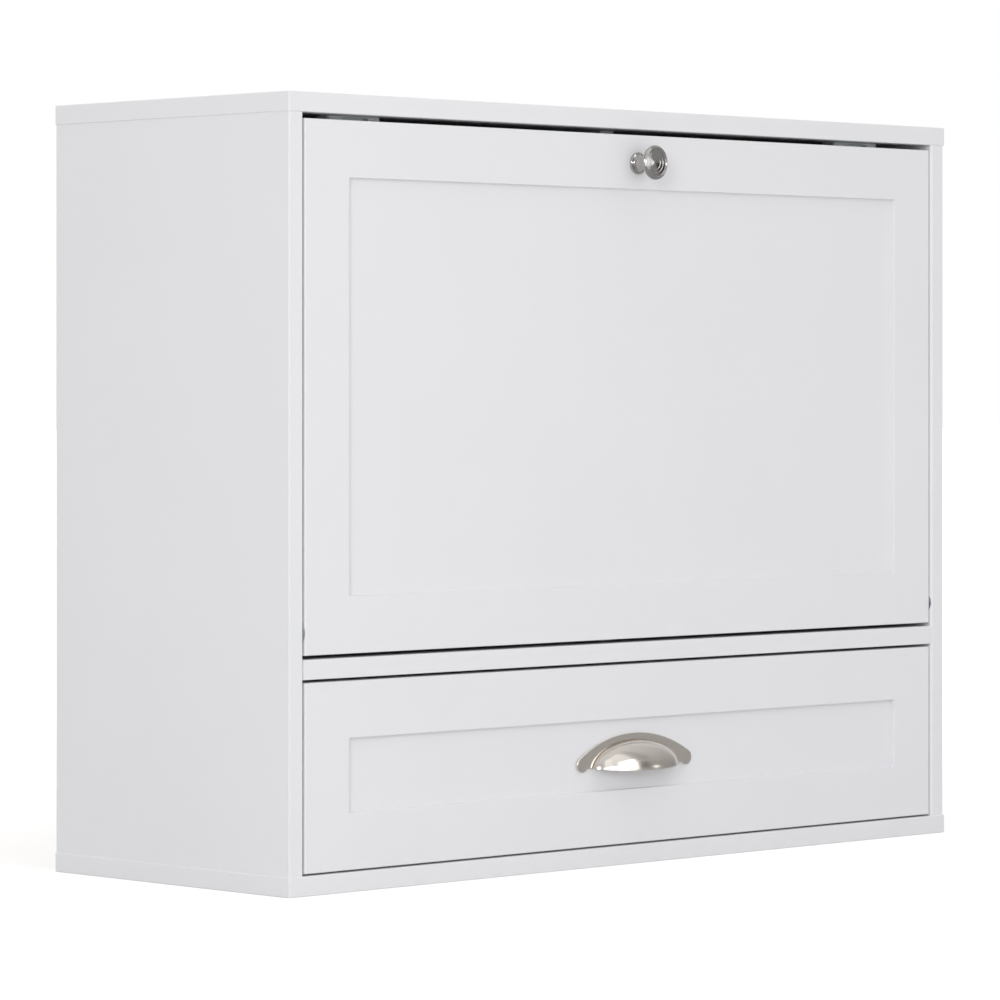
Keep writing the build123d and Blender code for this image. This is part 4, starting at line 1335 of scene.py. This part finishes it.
@dataclass
class Runner:
    """One telescopic runner: three rolled channels with balls in cages between them.

    Places across are measured from the side panel towards the drawer, and heights from the
    middle of the runner.
    """

    side: Side
    metal: float = 1.2
    bend: float = 1.5
    outer_flange: float = 9.6
    middle_web: float = 3.6
    middle_half: float = 18.0
    middle_flange: float = 10.8
    inner_half: float = 13.6
    inner_flange: float = 5.8
    lip: tuple[float, float] = (1.8, 0.9)   # how the edge of a flange is turned in: width, fall
    ball: float = 1.55              # radius
    outer_row: float = 6.9          # the rows of balls, across
    inner_row: float = 8.2
    cage_reach: float = 92.0
    cage_inset: float = 16.0
    cage_half: float = 0.4          # half the thickness of a cage
    cage_spare: float = 0.1         # how far it reaches past the balls
    cage_ease: float = 0.25
    balls: int = 9
    slot: tuple[float, float] = (16.0, 5.0)
    screw_hole: float = 1.8         # radius

    def rolled(self, path: Sequence[tuple[float, float]], length: float) -> BMesh:
        """Roll a channel from the line of its outside.

        Args:
            path: Places across and up, round the outside of the channel.
            length: Length of the channel.

        Returns:
            The channel, from Y zero, in the left runner's hand.
        """
        bm = bmesh.new()
        line = [bm.verts.new((across, 0, up)) for across, up in path]
        edges = [bm.edges.new(pair) for pair in zip(line, line[1:])]
        grown(bm, bmesh.ops.extrude_edge_only(bm, edges=edges)["geom"], (0, length, 0))
        bevelled(bm, [edge for edge in bm.edges if len(edge.link_faces) == 2], self.bend, 4)
        bmesh.ops.recalc_face_normals(bm, faces=bm.faces)
        middle = Vector((sum(across for across, _ in path) / len(path), 0, 0))
        web = max(bm.faces, key=lambda face: face.calc_area())
        inward = (middle - web.calc_center_median()).dot(web.normal) > 0
        bmesh.ops.solidify(bm, geom=bm.faces[:], thickness=-self.metal if inward else self.metal)
        return welded(bm)

    def channel(self, web: float, flange: float, half: float, length: float,
                slots: Sequence[float], screws: Sequence[float]) -> BMesh:
        """Roll one member, punch its slots and drill it for its screws.

        Args:
            web: Place across of the web's outside.
            flange: Place across of the edge of the flanges.
            half: Half the height over the flanges.
            length: Length of the member.
            slots: Middles of the slots, from its front end.
            screws: Places of the screws, from its front end.

        Returns:
            The member, from Y zero.
        """
        run, fall = self.lip
        lip = flange + math.copysign(run, web - flange)
        member = self.rolled([(flange, half - fall), (lip, half), (web, half), (web, -half),
                              (lip, -half), (flange, fall - half)], length)
        reach, radius = self.slot[0] / 2, self.slot[1] / 2
        start, deep = web - 3 * self.metal, 6 * self.metal
        for place in slots:
            punch = prism(round_ended(radius - reach, reach - radius, radius, 8), deep)
            placed(punch, facing((start, place, 0), (1, 0, 0)))
            member = worked(member, punch, Joinery.CARVE)
        for place in screws:
            member = bored(member, self.screw_hole, deep, (start, place, 0), (1, 0, 0))
        return member

    def row(self, across: float, up: float, start: float) -> tuple[BMesh, BMesh]:
        """Make one row of balls.

        Args:
            across: Place of the row, across.
            up: Its height.
            start: Where it starts, from the front end of the runner.

        Returns:
            The balls, and the cage that spaces them.
        """
        ball = bmesh.new()
        bmesh.ops.create_uvsphere(ball, u_segments=12, v_segments=8, radius=self.ball)
        pitch = self.cage_reach / self.balls
        places = [start + pitch * (each + 0.5) for each in range(self.balls)]
        balls = copies(ball, [Matrix.Translation((across, place, up)) for place in places])
        half = self.ball + self.cage_spare
        cage = slab((across - half, start, up - self.cage_half),
                    (across + half, start + self.cage_reach, up + self.cage_half))
        return balls, softened(cage, self.cage_ease)

    def build(self) -> None:
        """Roll the three members and set the balls between them."""
        word = self.side.word
        low, high = cad_span(f"{word}_runner_outer")
        length, outer_half = high.y - low.y, (high.z - low.z) / 2
        panel = self.side.outer((low, high))
        width = abs(self.side.inner(cad_span(f"{word}_runner_inner")) - panel)
        hand = Matrix.Diagonal((-self.side.value, 1, 1, 1))
        seat = Matrix.Translation((panel, low.y, (low.z + high.z) / 2)) @ hand
        screws = sorted({round((a.y + b.y) / 2 - low.y, 3)
                         for a, b in cad_solids("runner_outer_screws")})
        stops = [0, *screws, length]
        slots = [(a + b) / 2 for a, b in zip(stops, stops[1:]) if b - a > 2 * self.slot[0]]
        body = Body[f"{self.side.name}_RUNNER"]
        for name, rides, web, flange, half, drills in (
                ("outer", Body.CABINET, 0, self.outer_flange, outer_half, screws),
                ("middle", body, self.middle_web, self.middle_flange, self.middle_half, []),
                ("inner", Body.DRAWER, width, self.inner_flange, self.inner_half, screws)):
            member = self.channel(web, flange, half, length, slots, drills)
            finished(welded(placed(member, seat)), f"{word}_rolled_runner_{name}", ZINC, rides,
                     [f"{word}_runner_{name}"])
        outer_up = (outer_half - self.metal + self.middle_half) / 2
        inner_up = (self.middle_half - self.metal + self.inner_half) / 2
        rows = []
        for end in (-1, 1):
            rows += [self.row(self.outer_row, end * outer_up, length / 2 + self.cage_inset),
                     self.row(self.inner_row, end * inner_up, self.cage_inset)]
        balls, cages = (placed(gathered(meshes), seat) for meshes in zip(*rows))
        for mesh, name, finish, slot in ((balls, "balls", ZINC, Slot.ZINC),
                                         (cages, "ball_cages", ABS, Slot.PLASTIC)):
            bmesh.ops.recalc_face_normals(mesh, faces=mesh.faces)
            finished(mesh, f"{word}_runner_{name}", finish, body)


@dataclass
class Stay:
    """One slotted stay: the arm, its bracket on the flap and its stud in the side panel."""

    side: Side
    width: float = 14.0
    slot_radius: float = 2.7
    slot_start: float = 18.3        # centres of the slot's round ends, from the pivot
    slot_end: float = 222.0
    pivot_hole: float = 2.6
    ease: float = 0.35

    def arm(self, low: Vector, high: Vector) -> BMesh:
        """Punch and ease the arm.

        Args:
            low: Its lowest corner.
            high: Its highest corner.

        Returns:
            The arm, from its pivot to its tip, which is lower and further back.
        """
        radius, metal = self.width / 2, high.x - low.x
        pivot = Vector((low.x, low.y + radius, high.z - radius))
        tip = Vector((low.x, high.y - radius, low.z + radius))
        blank = prism(round_ended(0, (tip - pivot).length, radius, 16), metal)
        softened(blank, self.ease, 3, sharper_than=50)
        for hole in (round_ended(self.slot_start, self.slot_end, self.slot_radius, 12),
                     arc((0, 0), self.pivot_hole, 0, 352.5, 47)):
            punch = placed(prism(hole, metal + 2 * CLEAR), Matrix.Translation((0, 0, -CLEAR)))
            blank = worked(blank, punch, Joinery.CARVE)
        along, side = (tip - pivot).normalized(), Vector((1, 0, 0))
        turn = Matrix((along, side.cross(along), side)).transposed().to_4x4()
        return placed(blank, Matrix.Translation(pivot) @ turn)

    def build(self) -> None:
        """Make the arm, and ease the bracket and the stud."""
        word = self.side.word
        for part, making, mesh, body in (
                ("arm", "slotted", self.arm(*cad_span(f"{word}_stay_arm")),
                 Body[f"{self.side.name}_STAY"]),
                ("bracket", "pressed", eased(f"{word}_stay_bracket", self.ease), Body.FLAP),
                ("stud", "turned", eased(f"{word}_stay_stud", self.ease), Body.CABINET)):
            finished(mesh, f"{word}_{making}_stay_{part}", ZINC, body,
                     [f"{word}_stay_{part}"])


# ---- Carcass, flap and drawer --------------------------------------------------------------


@dataclass
class Cabinet:
    """The boards of the carcass and what holds them together."""

    chamfer: float = 2.0            # inner front arris of each side panel

    def panel(self, side: Side) -> None:
        """Plane the chamfer along the inner front arris of a side panel.

        Args:
            side: Which panel.
        """
        node = f"{side.word}_side_panel"
        low, high = cad_span(node)
        inner, front, out = side.inner((low, high)), low.y - CLEAR, side.value
        plane = prism([(inner - out * CLEAR, front),
                       (inner - out * CLEAR, low.y + self.chamfer + CLEAR),
                       (inner + out * (self.chamfer + CLEAR), front)], high.z - low.z + 2 * CLEAR)
        placed(plane, Matrix.Translation((0, 0, low.z - CLEAR)))
        planed = worked(copied(node), plane, Joinery.CARVE)
        finished(planed, f"{side.word}_chamfered_panel", LACQUER, Body.CABINET, [node])

    def build(self) -> None:
        """Dress the boards, the back and the joints, and chamfer the side panels."""
        for side in Side:
            self.panel(side)
        dress(LACQUER, ["top_board", "bottom_board", "middle_board", "hanging_rail",
                        "centre_divider", "left_shelf", "right_shelf"])
        dress(BACK_HARDBOARD, ["back_panel"])
        dress(ZINC, ["cam_bolts"])


@dataclass
class Flap:
    """The writing flap with its pivots and strike plates."""

    def build(self) -> None:
        """Dress the flap's board, strips and steel."""
        dress(LACQUER, ["flap_board", "flap_top_rail", "flap_bottom_rail", "flap_left_stile",
                        "flap_right_stile"])
        dress(ZINC, ["left_pivot_pin", "right_pivot_pin", "left_pivot_bush", "right_pivot_bush",
                     "strike_plates", "stay_rivets"])


@dataclass
class Drawer:
    """The drawer's front and box."""

    skin: float = 1.0               # paint and fibreboard left under the tip of a runner's screw
    plug_spare: float = 0.4         # how much wider than the screw's bore that is drawn

    def box_side(self, side: Side) -> None:
        """Close the bores of the runner's screws at the inner face of a drawer side.

        Args:
            side: Which drawer side.
        """
        node = f"drawer_{side.word}_side"
        inner = side.inner(cad_span(node))
        plugs = []
        for low, high in cad_solids("runner_inner_screws"):
            middle = (low + high) / 2
            if middle.x * side.value > 0:
                plug = rod((high.y - low.y) / 2 + self.plug_spare, self.skin, 32)
                plugs.append(placed(plug, facing((inner, middle.y, middle.z), (side.value, 0, 0))))
        closed = worked(copied(node), gathered(plugs), Joinery.JOIN)
        finished(closed, f"drawer_{side.word}_painted_side", LACQUER, Body.DRAWER,
                 [node])

    def build(self) -> None:
        """Dress the drawer's boards, and close the bores in its sides."""
        for side in Side:
            self.box_side(side)
        dress(LACQUER, ["drawer_front_board", "drawer_front_top_rail", "drawer_front_bottom_rail",
                        "drawer_front_left_stile", "drawer_front_right_stile", "drawer_back"])
        dress(DRAWER_HARDBOARD, ["drawer_bottom"])


# ---- Studio --------------------------------------------------------------------------------


@dataclass(frozen=True)
class SoftBox:
    """A white area lamp aimed at the desk."""

    name: str
    place: tuple[float, float, float]       # m
    width: float                            # m
    height: float                           # m
    power: float                            # W

    def build(self, target: Vector) -> None:
        """Hang the lamp and aim it.

        Args:
            target: The point that it is aimed at, in metres.
        """
        lamp = bpy.data.lights.new(self.name, "AREA")
        lamp.shape = "RECTANGLE"
        lamp.size, lamp.size_y, lamp.energy = self.width, self.height, self.power
        holder = put(self.name, lamp)
        holder.location = self.place
        holder.rotation_euler = (target - Vector(self.place)).to_track_quat("-Z", "Y").to_euler()


@dataclass(frozen=True)
class Screen:
    """A screen that only gloss sees: white, or dark where its strength is below zero.

    Its places are in degrees, as seen from the desk.
    """

    bearing: float          # from straight in front, to the right
    half_width: float
    rise: float             # above the horizon
    half_height: float
    strength: float


@dataclass
class Studio:
    """The pale floor, the soft light and the camera."""

    floor_side: float = 60.0                # m
    floor_colour: str = "#E0E0E0"
    floor_roughness: float = 0.8
    room_level: float = 0.40                # light of the room's walls
    room_above: float = 1.0                 # and of its ceiling
    gloss_level: float = 0.30               # the room's lower walls as gloss mirrors them
    gloss_above: float = 0.75               # and its ceiling
    glow_near: float = 0.45                 # light that the floor itself adds, under the desk
    glow_far: float = 0.68                  # and far off, where it meets the white room
    glow_start: float = 0.5                 # m from the desk's middle
    glow_end: float = 1.8
    floor_in_gloss: float = 0.60            # share of the floor's light that gloss sees
    screens: tuple[Screen, ...] = (Screen(20, 11, 13, 15, 2.6), Screen(16, 16, 40, 15, 0.35),
                                   Screen(-16, 14, 24, 26, 0.5), Screen(52, 2.5, 2.5, 2, 2.2),
                                   Screen(38, 5.5, 11, 8, -0.3), Screen(42, 9, 40, 15, -0.15))
    lamps: tuple[SoftBox, ...] = (SoftBox("key_box", (-3.17, -2.21, 1.26), 1.0, 0.8, 33.0),
                                  SoftBox("front_box", (-0.5, -3.6, 0.5), 3.0, 1.5, 18.0))
    turn: float = 44.45                     # degrees from the desk's depth axis to the lens axis
    corner_distance: float = 3.7952         # m along the lens axis to the near front corner
    corner_offset: float = -0.1672          # m from the lens axis to that corner
    eye_height: float = 0.4084              # m above the floor
    lens: float = 172.5                     # mm
    sensor: float = 36.0                    # mm
    rise: float = -0.1171                   # lens shift, as a share of the picture
    far: float = 200.0                      # m that the camera sees

    def light(self) -> None:
        """Light the desk from a white room and two soft boxes."""
        world = bpy.data.worlds.new("white_room")
        tree = emptied(world)
        way = add_node(tree, "SeparateXYZ", {0: add_node(tree, "TexCoord").outputs["Generated"]})
        walls = add_node(tree, "MapRange", {
            "Value": way.outputs["Z"], "To Min": self.room_level, "To Max": self.room_above})
        lit, mirrored, seen = (
            add_node(tree, "Background", {"Color": WHITE, "Strength": strength}).outputs[0]
            for strength in (walls.outputs["Result"], self.mirrored_room(tree, way), 1.0))
        ray = add_node(tree, "LightPath")
        gloss = add_node(tree, "MixShader", {0: ray.outputs["Is Glossy Ray"], 1: lit, 2: mirrored})
        room = add_node(tree, "MixShader", {
            0: ray.outputs["Is Camera Ray"], 1: gloss.outputs[0], 2: seen})
        add_node(tree, "OutputWorld", {"Surface": room.outputs[0]})
        bpy.context.scene.world = world
        target = (cad_box[0] + cad_box[1]) / 2
        for lamp in self.lamps:
            lamp.build(target)

    def mirrored_room(self, tree: NodeTree, way: Node) -> NodeSocket:
        """Add what gloss sees of the room: darker walls, a light ceiling and the screens.

        Args:
            tree: The world's node tree.
            way: The direction of the ray, as X, Y and Z.

        Returns:
            The strength of the light from that direction.
        """
        so_far = add_node(tree, "MapRange", {
            "Value": way.outputs["Z"], "To Min": self.gloss_level,
            "To Max": self.gloss_above}).outputs["Result"]
        ahead = add_node(tree, "Math", {0: way.outputs["Y"], 1: -1.0}, operation="MULTIPLY")
        bearing = add_node(tree, "Math", {0: way.outputs["X"], 1: ahead.outputs[0]},
                           operation="ARCTAN2")
        for screen in self.screens:
            across = add_node(tree, "Math", {
                0: bearing.outputs[0], 1: math.radians(screen.bearing),
                2: math.radians(screen.half_width)}, operation="COMPARE")
            up = add_node(tree, "Math", {
                0: way.outputs["Z"], 1: math.sin(math.radians(screen.rise)),
                2: math.sin(math.radians(screen.half_height))}, operation="COMPARE")
            both = add_node(tree, "Math", {0: across.outputs[0], 1: up.outputs[0]},
                            operation="MULTIPLY")
            so_far = add_node(tree, "Math", {0: both.outputs[0], 1: screen.strength, 2: so_far},
                              operation="MULTIPLY_ADD").outputs[0]
        return so_far

    def floor(self) -> None:
        """Lay the floor under the desk."""
        bm = bmesh.new()
        bmesh.ops.create_grid(bm, x_segments=1, y_segments=1, size=self.floor_side / 2)
        mesh = bpy.data.meshes.new("studio_floor")
        bm.to_mesh(mesh)
        bm.free()
        paint = bpy.data.materials.new("floor_paint")
        tree = emptied(paint)
        shader = add_node(tree, "BsdfPrincipled", {
            "Base Color": linear(self.floor_colour), "Roughness": self.floor_roughness})
        place = add_node(tree, "TexCoord")
        reach = add_node(tree, "VectorMath", {0: place.outputs["Object"]}, operation="LENGTH")
        glow = add_node(tree, "MapRange", {
            "Value": reach.outputs["Value"], "From Min": self.glow_start,
            "From Max": self.glow_end, "To Min": self.glow_near, "To Max": self.glow_far})
        ray = add_node(tree, "LightPath")
        shown = add_node(tree, "Math", {
            0: glow.outputs["Result"], 1: ray.outputs["Is Camera Ray"]}, operation="MULTIPLY")
        lit = add_node(tree, "Emission", {"Strength": shown.outputs[0]})
        both = add_node(tree, "AddShader", {0: shader.outputs["BSDF"], 1: lit.outputs[0]})
        dulled = add_node(tree, "Math", {
            0: ray.outputs["Is Glossy Ray"], 1: 1 - self.floor_in_gloss}, operation="MULTIPLY")
        black = add_node(tree, "BsdfDiffuse", {"Color": BLACK})
        seen = add_node(tree, "MixShader", {
            0: dulled.outputs[0], 1: both.outputs[0], 2: black.outputs[0]})
        add_node(tree, "OutputMaterial", {"Surface": seen.outputs[0]})
        mesh.materials.append(paint)
        sheet = put("studio_floor", mesh)

    def camera(self) -> None:
        """Stand the camera where the near front corner is at its distance and offset."""
        turn = math.radians(self.turn)
        ahead = Vector((math.sin(turn), math.cos(turn), 0))
        aside = Vector((math.cos(turn), -math.sin(turn), 0))
        corner = Vector((cad_box[0].x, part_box("bottom_board")[0].y, 0))
        data = bpy.data.cameras.new("camera")
        data.lens, data.sensor_width = self.lens, self.sensor
        data.shift_y, data.clip_end = self.rise, self.far
        view = put("camera", data)
        view.location = corner - ahead * self.corner_distance - aside * self.corner_offset
        view.location.z = self.eye_height
        view.rotation_euler = (math.pi / 2, 0, -turn)
        bpy.context.scene.camera = view

    def build(self) -> None:
        """Set up the studio."""
        self.floor()
        self.light()
        self.camera()
        bpy.context.scene.view_settings.view_transform = "Standard"
        LOG.info("studio: floor, lights and camera")


def main() -> None:
    """Build every part of the desk and the studio round it."""
    logging.basicConfig(level=logging.INFO, format="%(name)s: %(message)s")
    for part in (Cabinet(), CamLocks(), ShelfPins(),
                 Dowels("cabinet_dowels", "wood_dowels", Body.CABINET), Catches(),
                 Flap(), Knob(), Stay(Side.LEFT), Stay(Side.RIGHT),
                 Drawer(), CupPull(), Dowels("drawer_box_dowels", "drawer_dowels", Body.DRAWER),
                 Runner(Side.LEFT), Runner(Side.RIGHT), *SCREWS, Studio()):
        part.build()


if __name__ == "__main__":
    main()
